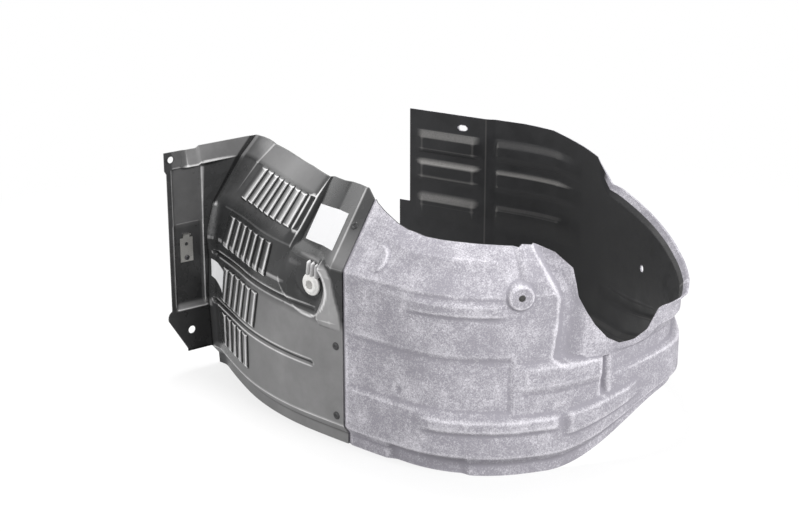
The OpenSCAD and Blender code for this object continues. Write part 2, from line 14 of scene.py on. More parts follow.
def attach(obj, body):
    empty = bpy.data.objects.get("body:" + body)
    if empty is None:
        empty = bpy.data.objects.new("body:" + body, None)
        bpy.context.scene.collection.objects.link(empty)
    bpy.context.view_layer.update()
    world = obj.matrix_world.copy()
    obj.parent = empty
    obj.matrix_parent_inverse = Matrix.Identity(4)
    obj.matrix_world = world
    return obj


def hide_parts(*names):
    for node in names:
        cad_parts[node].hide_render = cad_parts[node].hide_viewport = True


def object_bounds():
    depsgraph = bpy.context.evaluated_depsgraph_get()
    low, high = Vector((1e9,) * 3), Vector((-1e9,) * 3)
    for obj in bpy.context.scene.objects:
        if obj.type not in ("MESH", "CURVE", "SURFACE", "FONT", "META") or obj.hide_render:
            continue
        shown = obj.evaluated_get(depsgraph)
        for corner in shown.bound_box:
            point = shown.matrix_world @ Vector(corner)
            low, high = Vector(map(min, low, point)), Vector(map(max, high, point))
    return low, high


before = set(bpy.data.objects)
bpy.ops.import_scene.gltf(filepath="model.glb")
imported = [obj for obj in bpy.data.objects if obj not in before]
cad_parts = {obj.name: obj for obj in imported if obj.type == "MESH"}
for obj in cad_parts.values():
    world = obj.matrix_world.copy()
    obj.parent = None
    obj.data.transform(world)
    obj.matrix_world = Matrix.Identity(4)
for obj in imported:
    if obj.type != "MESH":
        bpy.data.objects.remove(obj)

bl_info = {
    "name": "Wheel arch liner",
    "version": (1, 0, 0),
    "blender": (4, 5, 0),
    "location": "3D View > Sidebar > Liner",
    "description": "Builds the dressed wheel arch liner and its stage",
    "category": "Object",
}

MM = 0.001
CAD_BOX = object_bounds()

# Plan of the arch in mm: start, and the length and turn of each run, as in the frame
START = (-398.6, -158.0)
PLAN_RUNS = ((15, 0), (16, -24), (342, 35), (209, 5), (209, 52), (291, 34), (100, 38), (384, 31),
             (242, 33), (250, 0))
WALL_LEN = sum(run for run, turn in PLAN_RUNS)
START_HEADING = math.radians(180 - sum(turn for run, turn in PLAN_RUNS))


def plan_table():
    """Start distance, point, heading and curvature of each run."""
    rows, s, x, y, h = [], 0.0, START[0], START[1], START_HEADING
    for run, turn in PLAN_RUNS:
        bend = math.radians(turn) / run
        rows.append((s, x, y, h, bend))
        if turn:
            x += (math.sin(h + bend * run) - math.sin(h)) / bend
            y += (math.cos(h) - math.cos(h + bend * run)) / bend
        else:
            x, y = x + run * math.cos(h), y + run * math.sin(h)
        s, h = s + run, h + bend * run
    return np.array(rows)


RUNS = plan_table()


def plan(s, inset):
    """X and Y of the wall at distances s, moved inset mm towards the wheel, and the headings."""
    k = np.clip(np.searchsorted(RUNS[:, 0], s, side="right") - 1, 0, len(RUNS) - 1)
    s0, x0, y0, h0, bend = RUNS[k].T if np.ndim(s) == 1 else np.moveaxis(RUNS[k], -1, 0)
    u = s - s0
    h = h0 + bend * u
    safe = np.where(bend == 0, 1.0, bend)
    x = np.where(bend == 0, x0 + u * np.cos(h0), x0 + (np.sin(h) - np.sin(h0)) / safe)
    y = np.where(bend == 0, y0 + u * np.sin(h0), y0 + (np.cos(h0) - np.cos(h)) / safe)
    return x - inset * np.sin(h), y + inset * np.cos(h), h


def at(s, z, inset):
    """Points in mm at distance s along the wall, height z and inset towards the wheel."""
    x, y = plan(s, inset)[:2]
    return np.stack([x, y, z + 0 * x], axis=-1)


def ramp(a, b, x):
    """Rises evenly from 0 at a to 1 at b."""
    return np.clip((x - a) / (b - a), 0, 1)


def ease(a, b, x):
    """Rises from 0 at a to 1 at b, with level ends."""
    t = ramp(a, b, x)
    return t * t * (3 - 2 * t)


def window(w, x):
    """Rises over the first two of four marks and falls over the last two."""
    return ramp(w[0], w[1], x) * (1 - ramp(w[2], w[3], x))


def lookup(x, marks):
    """Value at x in a table of places and values."""
    return np.interp(x, [a for a, b in marks], [b for a, b in marks])


def pressed(reliefs, s, v):
    """Sum of pressed reliefs, each a depth, a window along the wall and a window by level."""
    return sum(depth * window(along, s) * window(up, v) for depth, along, up in reliefs)


def softened(shape, s, v, radius):
    """The shape averaged over a small square, which rounds its folds."""
    steps = [(-1, 1), (-0.5, 2), (0, 3), (0.5, 2), (1, 1)]
    total = sum(a * b * shape(s + i * radius, v + j * radius) for i, a in steps for j, b in steps)
    return total / sum(a for i, a in steps) ** 2


def stations(keys, step, close=0.0):
    """Places from the first key to the last, at each key and no further apart than the step, with
    one more on both sides of each key where close is given."""
    marks = sorted({*keys, *(key + d for key in keys[1:-1] for d in (-close, close))})
    out = [marks[0]]
    for a, b in zip(marks, marks[1:]):
        n = max(1, math.ceil((b - a) / step))
        out += [a + (b - a) * k / n for k in range(1, n + 1)]
    return np.array(out)


# Section of the wall, in mm
LIP_INSET, LIP_H, LIP_TOP = 12, 20, 36
KINK_Z, LEAN, RIM_ROLL = 315, 0.77, 10
SEAM_S, LAP = 458, 26
FELT_START = SEAM_S - LAP
LEVEL_BASE, LEVEL_KINK, LEVEL_RIM = 190, 315, 380

# Felt shell, in mm along the wall and up
CUT_A, CUT_B, TOWER_A, REAR_A, JOG_S = 859, 1071, 1155, 1590, 1876
CUTOUT_Z, NOTCH_Z, RIM_REAR = 206, 246, 386
FOOT_RUN, UNDER_PANEL = 24, 3.64
PAD_S, PAD_Z, PAD_R, PAD_H, PAD_HOLE_R = 785, 314, 22, 6, 6
REAR_HOLE = (1446, 185, 6.5)
LEG_SLOT = (1937, 361, 5.5, 0, 8)
FELT_RIM = (
    (FELT_START, 412), (SEAM_S + 2, 418), (522, 394), (545, 388), (582, 384), (676, 384), (744, 382),
    (797, 379), (803, 383), (823, 381), (CUT_A, 370), (878, 350), (889, 300), (903, 271), (917, 250),
    (943, 222), (970, CUTOUT_Z + 1), (987, CUTOUT_Z), (1004, CUTOUT_Z), (1034, 215), (1050, 232),
    (1062, 244), (CUT_B, NOTCH_Z), (TOWER_A, NOTCH_Z), (1172, 262), (1293, 270), (1387, 282), (1494, 297),
    (REAR_A - 8, 310), (REAR_A + 12, 334), (1620, 355), (1661, 366), (1737, RIM_REAR - 3),
    (1804, RIM_REAR), (WALL_LEN + FOOT_RUN, RIM_REAR),
)
PILLAR_EDGE = ((188, 859), (202, 840), (252, 847), (301, 851), (337, 836), (373, 823))
PILLAR_H, HOLLOW_D = 8, 12
CRESCENT = (518, 345, 17, 21)
DIMPLE = (576, 134, 1, 9)
CRESCENT_H, DIMPLE_D = 4.5, 3
EVERY = (-2, -1, 3000, 3001)
FELT_COLS = (
    FELT_START, 450, SEAM_S + 1, SEAM_S + 8, 490, 522, 545, 582, 620, 640, 744, 765, 776, 788, 797, 810,
    823, 836, 848, CUT_A, 868, 878, 889, 903, 917, 932, 940, 942, 950, 970, 987, 1004, 1034, 1050, 1062,
    CUT_B, 1105, TOWER_A, 1172, 1210, 1250, 1293, 1330, REAR_A - 8, REAR_A + 12, 1620, 1661, 1720, 1770,
    JOG_S - 16, JOG_S - 8, JOG_S + 9, JOG_S + 16, JOG_S + 36, WALL_LEN - 30, WALL_LEN - 12, WALL_LEN,
    WALL_LEN + FOOT_RUN,
)
FELT_LEVELS = (0, LIP_H, LIP_TOP, 62, 76, 84, 100, 108, 120, 145, 158, LEVEL_BASE, 200, 214, 240, 250,
               278, 284, 300, 308, LEVEL_KINK, 330, 344, 362, LEVEL_RIM)


def felt_reliefs(bead):
    """Beads, steps and pads pressed into the felt. An outward relief has a negative depth."""
    rear = (1661, 1720, JOG_S - 16, JOG_S - 8)
    leg = (JOG_S + 16, JOG_S + 36, WALL_LEN - 30, WALL_LEN - 12)
    low_rows = ((240, 250, 278, 284), (158, 190, 200, 214))
    return (
        (-bead * 0.8, (582, 620, 744, 765), (278, 284, 300, 308)),
        (bead * 0.4, (475, 522, 744, 765), (300, 308, 344, 362)),
        (bead * 0.7, (SEAM_S + 8, SEAM_S + 32, 768, 776), (108, 116, 204, 214)),
        (bead * 1.3, (545, 560, 692, 706), (-2, -1, LIP_H + 4, LIP_TOP)),
        (-bead, (610, 640, 846, 859), (76, 84, 100, 108)),
        (-bead, (866, 878, 987, 1020), (62, 68, 100, 108)),
        (-bead * 0.8, (776, 797, 933, 943), (145, 158, 190, 200)),
        (bead * 1.9, (932, 940, 942, 950), (108, 116, 192, 200)),
        (16, (940, TOWER_A, 1180, 1330), (145, 158, 214, 278)),
        (-13, (1080, 1150, REAR_A - 30, REAR_A + 20), (344, LEVEL_RIM, 900, 901)),
        (-bead, (1250, 1293, 1540, 1602), (76, 84, 100, 108)),
        (bead, rear, (300, 315, 330, 344)),
        (bead, leg, (300, 308, 330, 344)),
        *((bead, along, up) for along in (rear, leg) for up in low_rows),
        (bead, (JOG_S - 8, JOG_S + 9, 3000, 3001), EVERY),
    )


def felt_z(s, v):
    """Height of level v at s: the levels follow the rim and the rising lip."""
    low = 88 * ease(840, 1110, s) * (1 - ease(1250, 1540, s))
    rim = lookup(s, FELT_RIM)
    share = (LEVEL_KINK - LEVEL_BASE) / (LEVEL_RIM - LEVEL_BASE)
    mid = np.minimum(KINK_Z, LEVEL_BASE + (rim - LEVEL_BASE) * share)
    below = low + v * (LEVEL_BASE - low) / LEVEL_BASE
    wall = LEVEL_BASE + (v - LEVEL_BASE) * (mid - LEVEL_BASE) / (LEVEL_KINK - LEVEL_BASE)
    above = mid + (v - LEVEL_KINK) * (rim - mid) / (LEVEL_RIM - LEVEL_KINK)
    return np.where(v < LEVEL_BASE, below, np.where(v < LEVEL_KINK, wall, above))


def lip(v):
    return LIP_INSET * (1 - ramp(LIP_H, LIP_TOP, v))


def leaning(z):
    return LEAN * np.maximum(0, z - KINK_Z)


def disc(spot, s, z):
    """1 inside a disc given by its middle and its inner radius, and 0 past its outer one."""
    return 1 - ramp(spot[2], spot[3], np.hypot(s - spot[0], z - spot[1]))


def felt_inset(s, v, reliefs):
    """Inset of the felt's face at s and level v."""
    z = felt_z(s, v)
    left = 1 - ease(CUT_A - 34, CUT_A + 36, s)
    edge = lookup(z, PILLAR_EDGE)
    pillar = ramp(788, 797, s) * (1 - ramp(edge, edge + 8, s)) * ramp(PAD_Z + 4, PAD_Z + 22, z)
    hollow = HOLLOW_D * ramp(edge, edge + 10, s)
    hollow = hollow * ramp(188, 202, z) * (1 - ramp(edge + 30, edge + 56, s))
    under_panel = UNDER_PANEL * (1 - ramp(SEAM_S + 1, SEAM_S + 8, s))
    rolled = RIM_ROLL * left * ramp(362, LEVEL_RIM, v) * ramp(490, 560, s)
    plain = (lip(v) + leaning(z) * left + under_panel + rolled + pressed(reliefs, s, v)
             - PILLAR_H * pillar + hollow)
    plain = plain - CRESCENT_H * disc(CRESCENT, s, z) * ramp(505, 530, s) + DIMPLE_D * disc(DIMPLE, s, z)
    pad = disc((PAD_S, PAD_Z, PAD_R - 2, PAD_R), s, z)
    return plain * (1 - pad) - PAD_H * pad


# Front panel, in mm. Of a louvre row, back is the height of its louvres' backs as a share of their
# lips' height, pale is how strongly a painted highlight lightens its lips, and keen is how narrowly.
LouvreRow = namedtuple("LouvreRow", "low high count back pale keen")
LOUVRE_ROWS = (LouvreRow(57, 122, 5, 0.76, 0.8, 8), LouvreRow(144, 209, 6, 0.72, 1.4, 8),
               LouvreRow(246, 307, 7, 0.62, 3.4, 12), LouvreRow(333, 391, 8, 0.62, 4.5, 4))
LOUVRE_S, LOUVRE_PITCH, LOUVRE_GAP, LOUVRE_END, LOUVRE_SLIT = 78, 27, 1.5, 3, 0.8
HOOD_BULGE, NEAR = 1.4, 0.01
ROW_TOP, PANEL_KINK, PANEL_LEVEL_TOP, KINK_RISE = 307, 322, 423, 10
GROOVE_ZS, GROOVE_HALF, GROOVE_END, GROOVE_D = (132, 224), 6, 390, 4
STEP_D, BELLY_D = 30, 30
RIDGE_S, RIDGE_W, BAY_D, BAND_LEAN, LEAF_H, CHANNEL_D = 297, 6, 10, 8, 10, 5
CHANNEL_SS = (277, 284, 290, RIDGE_S)
GROMMET_S, GROMMET_Z, POCKET_R, POCKET_D, SEAT_R, SEAT_HOLE_R = 370, 266, 52, 12, 26, 12.15
PANEL_TOP, BAY_TOP, FLANGE_TOP, FLANGE_BOTTOM, FLANGE_W = 423, 430, 428, 42, 97
PANEL_LEVELS = (0, LIP_H, LIP_TOP, 57, 60, 119, 122, 126, 132, 138, 144, 147, 206, 209, 218, 224, 230,
                246, 249, 282, 286, 304, ROW_TOP, PANEL_KINK, 333, 336, 388, 391, PANEL_LEVEL_TOP)
PANEL_RIM = (
    (0, FLANGE_TOP), (30, PANEL_TOP + 3), (120, PANEL_TOP), (216, PANEL_TOP),
    (RIDGE_S - 6, PANEL_TOP - 4), (RIDGE_S + RIDGE_W, PANEL_TOP - 2), (352, BAY_TOP - 6),
    (406, BAY_TOP), (436, BAY_TOP + 2), (SEAM_S, BAY_TOP - 11),
)
LEAF_EDGE = ((198, 456), (234, 451), (260, 442), (296, 432), (316, 412))


def panel_kink(s):
    return KINK_Z + KINK_RISE * (1 - ramp(380, FELT_START, s))


def stretched(v, mid, top):
    near = ROW_TOP + (v - ROW_TOP) * (mid - ROW_TOP) / (PANEL_KINK - ROW_TOP)
    far = mid + (v - PANEL_KINK) * (top - mid) / (PANEL_LEVEL_TOP - PANEL_KINK)
    return np.where(v <= ROW_TOP, v, np.where(v <= PANEL_KINK, near, far))


def panel_z(s, v):
    return stretched(v, panel_kink(s), lookup(s, PANEL_RIM))


def panel_plain(s, v):
    """Inset of the panel without its pocket, leaf and louvres."""
    z = panel_z(s, v)
    steps = STEP_D * lookup(z, ((145, 0), (218, 0.37), (253, 0.37), (KINK_Z, 1)))
    steps = steps * (1 - ramp(300, FELT_START, s))
    belly = BELLY_D * (1 - ramp(0, 150, s)) ** 2
    belly = belly * lookup(z, ((0, 0.45), (150, 0.75), (250, 1.1), (420, 1.2)))
    bay = BAY_D * window((RIDGE_S, RIDGE_S + RIDGE_W, 380, FELT_START), s) * ramp(ROW_TOP, PANEL_KINK, v)
    band = BAND_LEAN * ramp(391, PANEL_LEVEL_TOP, v) * (1 - ramp(RIDGE_S, RIDGE_S + RIDGE_W, s))
    groove = sum(1 - ramp(0, GROOVE_HALF, abs(v - z0)) for z0 in GROOVE_ZS)
    groove = GROOVE_D * groove * window((12, 21, GROOVE_END - 8, GROOVE_END), s)
    channel = CHANNEL_D * window(CHANNEL_SS, s) * window((333, 336, 388, 391), v)
    return lip(v) + leaning(z) + steps - belly + bay + band + groove + channel


RIB_SS, RIB_R, RIB_VS, RIB_SINK = (369, 381, 393), 4.2, (284, 309), 9
SEAT_INSET = float(panel_plain(GROMMET_S, GROMMET_Z)) + POCKET_D


def panel_base(s, v):
    """Inset of the panel with its pocket and leaf."""
    leaf = -LEAF_H * ramp(398, 404, s) * (1 - ramp(404, lookup(v, LEAF_EDGE), s))
    leaf = leaf * window((206, 218, ROW_TOP, PANEL_KINK), v)
    away = np.hypot((s - GROMMET_S) / np.where(s < GROMMET_S, 1.7, 1), v - GROMMET_Z)
    share = 1 - ramp(SEAT_R, POCKET_R, away)
    return (panel_plain(s, v) + leaf) * (1 - share) + SEAT_INSET * share


def lips_of(count):
    """Places of the lips of so many louvres."""
    return [LOUVRE_S + k * LOUVRE_PITCH for k in range(count)]


def row_window(row, v):
    return window((row.low, row.low + LOUVRE_END, row.high - LOUVRE_END, row.high), v)


def louvres(s, v, height):
    """Height of the louvre hoods: each rises to its lip, and its back stands behind an open slit."""
    out = np.zeros(np.broadcast(s, v).shape)
    for row in LOUVRE_ROWS:
        up = row_window(row, v)
        for lip_s in lips_of(row.count):
            t = ramp(lip_s - LOUVRE_PITCH + LOUVRE_GAP, lip_s, s) * (s <= lip_s + NEAR)
            behind = row.back * (s > lip_s + NEAR) * (s < lip_s + LOUVRE_SLIT + NEAR)
            out = np.maximum(out, height * np.maximum(1 - (1 - t) ** HOOD_BULGE, behind) * up)
    return out


def slot_cells(s, v):
    """Which cells, given by their middles, are louvre slots."""
    out = np.zeros(np.broadcast(s, v).shape, bool)
    for row in LOUVRE_ROWS:
        inside = (v > row.low + LOUVRE_END) & (v < row.high - LOUVRE_END)
        for lip_s in lips_of(row.count):
            out |= (s > lip_s) & (s < lip_s + LOUVRE_SLIT) & inside
    return out


def grain_and_sheen_share(s, v):
    """How much the panel's surface is grained and pale rather than polished, and how much painted
    reflection it gets: the lower part is grain and painted reflection, while the band, the row, the
    bay, the leaf and the louvre lips get painted reflections and highlights.
    """
    lower = (0.12 + 0.93 * ramp(70, 300, s)) * (1 - ramp(206, 224, v))
    middle = 0.04 * ramp(206, 224, v) * (1 - ramp(ROW_TOP, PANEL_KINK, v))
    band = 0.52 * ramp(391, 395, v) * (1 - ramp(276, 290, s))
    row = 0.25 * window((312, 330, 388, 392), v) * (1 - ramp(270, 277, s))
    bay = 0.2 * ramp(312, 326, v) * ramp(385, 425, s)
    bay = bay + 0.6 * window((312, 328, 345, 385), v) * ramp(408, 428, s)
    leaf = 1.5 * ramp(398, 404, s) * (1 - ramp(-3, 3, s - lookup(v, LEAF_EDGE)))
    leaf = leaf * window((200, 210, ROW_TOP, PANEL_KINK - 4), v)
    rise = louvres(s, v, 1.0)
    lips = sum(row.pale * row_window(row, v) * rise ** row.keen for row in LOUVRE_ROWS)
    return np.maximum(lower + middle + band + row + bay + lips, leaf)


# Mounting flange: u is the distance out from the wall in mm. Its holes are a distance, a height and a
# radius: the ear's, the foot's and the clip screw's.
EAR_U, FLOOR_D = 66, 6
CLIP_U, CLIP_Z, CLIP_T = 60, 219, 1.2
FLANGE_HOLES = ((88, 410, 6.25), (58, 78, 7.5), (CLIP_U, CLIP_Z, 2.55))
FLANGE_NORMAL = (math.cos(START_HEADING), math.sin(START_HEADING), 0)
FLOOR_US = (26, 30, 84, 88)
FLANGE_US = (26, 30, EAR_U - 8, EAR_U, 84, 88, FLANGE_W)
FLANGE_RELIEFS = (
    (-FLOOR_D, FLOOR_US, (122, 132, 388, 391)),
    (2.5, FLOOR_US, (282, 286, 388, 391)),
    (4, (-1, 0, 84, 88), (119, 122, 122.01, 126)),
    (9, (-1, 0, EAR_U - 8, EAR_U), (388, 391, 391.01, PANEL_LEVEL_TOP + 8)),
)


def flange_z(u, v):
    rim = FLANGE_TOP - 4 * ramp(30, 36, u)
    return np.where(v <= LIP_TOP, FLANGE_BOTTOM * v / LIP_TOP, stretched(v, panel_kink(0.0), rim))


def flange_reach(z):
    return lookup(z, ((FLANGE_BOTTOM, FLANGE_W - 30), (105, FLANGE_W + 9), (116, FLANGE_W + 7),
                      (122, FLANGE_W), (384, FLANGE_W), (390, FLANGE_W + 4), (FLANGE_TOP, FLANGE_W + 4)))


def out_from(u, d, z):
    """Points in mm on the flange's plane, u out from the wall and d towards its face."""
    x = START[0] + u * math.sin(START_HEADING) + d * math.cos(START_HEADING)
    y = START[1] - u * math.cos(START_HEADING) + d * math.sin(START_HEADING)
    return np.stack([x, y, z], axis=-1)


# Small pieces. A turned profile is (radius, height) in mm.
GROMMET_PROFILE = (
    (8, 7), (9, 7.6), (12.5, 7.6), (14, 6.9), (15.5, 5.4), (18, 4.6), (19.4, 3.8), (20, 2.6), (20, 0.8),
    (19.5, 0.3), (12, 0.3), (12, -2.65), (14, -2.65), (12, -7.6), (8, -7.6),
)
RIVET_PROFILE = (
    (0, 1.4), (2.2, 1.4), (2.6, 1.9), (3.4, 2.4), (5.6, 2.1), (6.7, 1.2), (7, 0.3), (3.2, 0.2), (3.2, -7),
    (6, -7.2), (3.2, -10), (0, -10),
)
SCREW_PROFILE = (
    (0, 1.2), (1.6, 1.2), (1.9, 2.9), (3.4, 2.9), (4.6, 2.0), (5, 1.0), (5, 0), (2.4, 0), (2.4, -10),
    (0, -12),
)
RIVET_S, RIVET_ZS = SEAM_S - 15, (52, 178, 378)
PLATES = {"bay_plate": ((313, 381), (415, 389), (416, 335), (322, 330)),
          "front_plate": ((9, 211), (57, 198), (62, 159), (11, 178))}
PLATE_LIFT, PLATE_T, PLATE_CELLS = 0.2, 0.3, (24, 14)

# Stage. A lamp is a name, its place from the camera's aim, its size and its power.
LAMPS = (
    ("overhead", (-0.2, 0.5, 2.4), (1.3, 1.0), 46),
    ("left_back", (-2.6, 0.75, 1.35), (1.7, 1.5), 16),
    ("left_front", (-1.5, -2.9, 0.9), (1.0, 0.8), 42),
    ("right_front", (2.9, -0.9, 1.5), (1.2, 1.6), 88),
)
ROOM_LIGHT, FLOOR_GAP = 0.47, 0.0005
WHITE = (1, 1, 1, 1)


# Meshes

def new_object(name, mesh, material=None):
    piece = bpy.data.objects.new(name, mesh)
    bpy.context.scene.collection.objects.link(piece)
    if material:
        piece.data.materials.clear()
        piece.data.materials.append(material)
    return piece


def mesh_of(bm, name):
    """A mesh from the bmesh, which is freed."""
    mesh = bpy.data.meshes.new(name)
    bm.to_mesh(mesh)
    bm.free()
    return mesh


def discard(piece):
    """Removes a helper object and its mesh."""
    mesh = piece.data
    bpy.data.objects.remove(piece)
    bpy.data.meshes.remove(mesh)


def finish_piece(piece, angle, *nodes):
    """Shades the piece smooth, with creases kept where faces meet at more than the angle in degrees.
    Rides it on the body and lets it stand for the named nodes."""
    piece.data.shade_smooth()
    piece.data.set_sharp_from_angle(angle=math.radians(angle))
    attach(piece, "root")
    if nodes:
        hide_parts(*nodes)


def bake(piece):
    """Applies the piece's modifiers, which leaves it a plain mesh."""
    graph = bpy.context.evaluated_depsgraph_get()
    mesh = bpy.data.meshes.new_from_object(piece.evaluated_get(graph), preserve_all_data_layers=True,
                                           depsgraph=graph)
    old = piece.data
    piece.modifiers.clear()
    piece.data = mesh
    mesh.name = piece.name
    bpy.data.meshes.remove(old)


def unit(vectors):
    return vectors / np.maximum(np.linalg.norm(vectors, axis=-1, keepdims=True), 1e-9)


def folds_and_facing_up(face, keen):
    """For a grid of points, how sharply the sheet turns at each one, above 0 on a crest and weighed
    by keen, and how far its back faces up, which gives dust and a painted highlight on upward ledges."""
    normal = unit(np.cross(np.gradient(face, axis=0), np.gradient(face, axis=1)))
    turn = np.zeros(face.shape[:2])
    for axis, inner in ((0, np.s_[1:-1, :]), (1, np.s_[:, 1:-1])):
        step = unit(np.diff(face, axis=axis))
        turn[inner] -= (np.diff(step, axis=axis) * normal[inner]).sum(axis=-1)
    return turn * keen, ramp(0.12, 0.6, -normal[..., 2])


def sheet_mesh(name, face, back, kept, lined=1.0, grain=0.0, keen=1.0):
    """A closed sheet between two grids of points in mm, with the kept cells only. Its lining
    attribute is the lined value on the back and 0 on the face. Its paleness attribute is the value
    given for it, which on the panel holds grain and painted reflections, with dust and a painted
    highlight added where the back faces up. Its fold attribute is above 0 on a crest and below 0 in
    a crease, where the finishes paint highlight and shade."""
    cols, rows = face.shape[:2]
    f = np.arange(cols * rows).reshape(cols, rows)
    b = f + cols * rows
    have = np.pad(kept, 1)

    def quads(cells, *corners):
        i, j = np.nonzero(cells)
        return np.stack([grid[i + di, j + dj] for grid, di, dj in corners], axis=1)

    faces = np.concatenate([
        quads(kept, (f, 1, 0), (f, 1, 1), (f, 0, 1), (f, 0, 0)),
        quads(kept, (b, 0, 1), (b, 1, 1), (b, 1, 0), (b, 0, 0)),
        quads(kept & ~have[1:-1, :-2], (b, 0, 0), (b, 1, 0), (f, 1, 0), (f, 0, 0)),
        quads(kept & ~have[1:-1, 2:], (b, 1, 1), (b, 0, 1), (f, 0, 1), (f, 1, 1)),
        quads(kept & ~have[:-2, 1:-1], (b, 0, 1), (b, 0, 0), (f, 0, 0), (f, 0, 1)),
        quads(kept & ~have[2:, 1:-1], (b, 1, 0), (b, 1, 1), (f, 1, 1), (f, 1, 0)),
    ])
    points = np.concatenate([face.reshape(-1, 3), back.reshape(-1, 3)]) * MM
    used = np.unique(faces)
    renumber = np.zeros(len(points), int)
    renumber[used] = np.arange(len(used))
    mesh = bpy.data.meshes.new(name)
    mesh.from_pydata(points[used].tolist(), [], renumber[faces].tolist())
    blank = np.zeros((cols, rows))
    turn, dust_and_sheen = folds_and_facing_up(face, keen)
    for key, values in (("lining", (blank, blank + lined)), ("grain", (blank + grain, grain + dust_and_sheen)),
                        ("fold", (turn, -turn))):
        made = mesh.attributes.new(key, "FLOAT", "POINT")
        made.data.foreach_set("value", np.concatenate(values).ravel()[used].astype(np.float32))
    mesh.validate()
    return mesh


def thick(inset, z, thickness):
    """Inset of the back of a sheet, thicker across where the section slopes."""
    grade = np.gradient(inset, axis=1) / np.maximum(np.gradient(z, axis=1), 0.05)
    return inset + thickness * np.minimum(2.2, np.sqrt(1 + grade ** 2))


ROD_LEN = 60


def drill(piece, holes):
    """Cuts holes through the piece. Each is a point and an axis in mm, a radius and a length by which
    it is stretched along the wall."""
    bm = bmesh.new()
    for point, axis, radius, stretch in holes:
        along = Vector((axis[1], -axis[0], 0)).normalized()
        turn = Matrix((along, Vector((0, 0, 1)), Vector(axis).normalized())).transposed().to_4x4()
        rod = bmesh.ops.create_cone(bm, cap_ends=True, segments=40, radius1=radius * MM,
                                    radius2=radius * MM, depth=ROD_LEN * MM)["verts"]
        for vert in rod:
            vert.co.x += math.copysign(stretch / 2, vert.co.x) * MM
        bmesh.ops.transform(bm, verts=rod, matrix=Matrix.Translation(Vector(point) * MM) @ turn)
    bmesh.ops.recalc_face_normals(bm, faces=bm.faces)
    rods = new_object("rods", mesh_of(bm, "rods"))
    cut = piece.modifiers.new("holes", "BOOLEAN")
    cut.operation, cut.solver, cut.object = "DIFFERENCE", "EXACT", rods
    bake(piece)
    discard(rods)


def wall_hole(s, z, radius, inset=0.0, stretch=0.0):
    """A hole square to the wall at distance s and height z."""
    (x,), (y,), (h,) = plan(np.array([s]), inset)
    return (x, y, z), (-math.sin(h), math.cos(h), 0), radius, stretch


def lathe(name, profile, segments, point, axis, material=None):
    """A turned piece whose profile closes on the axis or on itself."""
    bm = bmesh.new()
    rings = []
    for k in range(segments):
        a = 2 * math.pi * k / segments
        rings.append([bm.verts.new((r * math.cos(a) * MM, r * math.sin(a) * MM, h * MM))
                      for r, h in profile])
    for one, two in zip(rings, rings[1:] + rings[:1]):
        for i, (r, h) in enumerate(profile):
            j = (i + 1) % len(profile)
            if r or profile[j][0]:
                bm.faces.new((one[i], two[i], two[j], one[j]))
    bmesh.ops.remove_doubles(bm, verts=bm.verts, dist=1e-7)
    bmesh.ops.recalc_face_normals(bm, faces=bm.faces)
    turn = Vector(axis).to_track_quat("Z", "Y").to_matrix().to_4x4()
    bm.transform(Matrix.Translation(Vector(point) * MM) @ turn)
    return new_object(name, mesh_of(bm, name), material)


# Materials

class Wire:
    """A socket of a node tree, for maths written as expressions."""

    def __init__(self, tree, socket):
        self.tree, self.socket = tree, socket

    def beside(self, name):
        """Another output of the same node."""
        return Wire(self.tree, self.socket.node.outputs[name])

    def _with(self, operation, a, b):
        return self.tree.node("ShaderNodeMath", {"operation": operation}, {0: a, 1: b})

    def __add__(self, other):
        return self._with("ADD", self, other)

    def __sub__(self, other):
        return self._with("SUBTRACT", self, other)

    def __rsub__(self, other):
        return self._with("SUBTRACT", other, self)

    def __mul__(self, other):
        return self._with("MULTIPLY", self, other)

    __radd__ = __add__
    __rmul__ = __mul__


class Tree:
    """An emptied node tree whose nodes all come from one method."""

    def __init__(self, tree):
        self.nodes, self.links = tree.nodes, tree.links
        self.nodes.clear()

    def node(self, kind, settings=None, inputs=None, output=0):
        """A node with its settings made first, then the values or links of its sockets."""
        made = self.nodes.new(kind)
        for key, value in (settings or {}).items():
            setattr(made, key, value)
        for key, value in (inputs or {}).items():
            if isinstance(value, Wire):
                self.links.new(value.socket, made.inputs[key])
            else:
                made.inputs[key].default_value = value
        return None if output is None else Wire(self, made.outputs[output])


class Finish(Tree):
    """A material and its node tree."""

    def __init__(self, name):
        self.material = bpy.data.materials.new(name)
        self.material.use_nodes = True
        super().__init__(self.material.node_tree)

    def place(self):
        return self.node("ShaderNodeTexCoord", output="Object")

    def attribute(self, name):
        return self.node("ShaderNodeAttribute", {"attribute_name": name}, output="Fac")

    def noise(self, scale, detail=2.0, rough=0.5, stretch=(1, 1, 1), distortion=0.0):
        """Noise from 0 to 1 whose scale is in features for each metre."""
        where = self.node("ShaderNodeMapping", inputs={"Vector": self.place(), "Scale": stretch})
        return self.node("ShaderNodeTexNoise", inputs={
            "Vector": where, "Scale": scale, "Detail": detail, "Roughness": rough,
            "Distortion": distortion})

    def between(self, low, high, value, to_low=0.0, to_high=1.0):
        return self.node("ShaderNodeMapRange", {"clamp": True}, {
            "Value": value, "From Min": low, "From Max": high, "To Min": to_low, "To Max": to_high})

    def mix(self, factor, a, b):
        return self.node("ShaderNodeMix", {"data_type": "RGBA"}, {
            "Factor": factor, 6: rgba(a), 7: rgba(b)}, output=2)

    def bump(self, height, distance, strength, normal=None):
        inputs = {"Height": height, "Distance": distance, "Strength": strength}
        if normal:
            inputs["Normal"] = normal
        return self.node("ShaderNodeBump", inputs=inputs)

    def surface(self, **inputs):
        """A Principled surface; an input's name has an underscore for each space."""
        return self.node("ShaderNodeBsdfPrincipled", inputs={
            key.replace("_", " "): rgba(value) if key == "Base_Color" else value
            for key, value in inputs.items()}, output="BSDF")

    def done(self, shader):
        self.node("ShaderNodeOutputMaterial", inputs={"Surface": shader}, output=None)
        return self.material


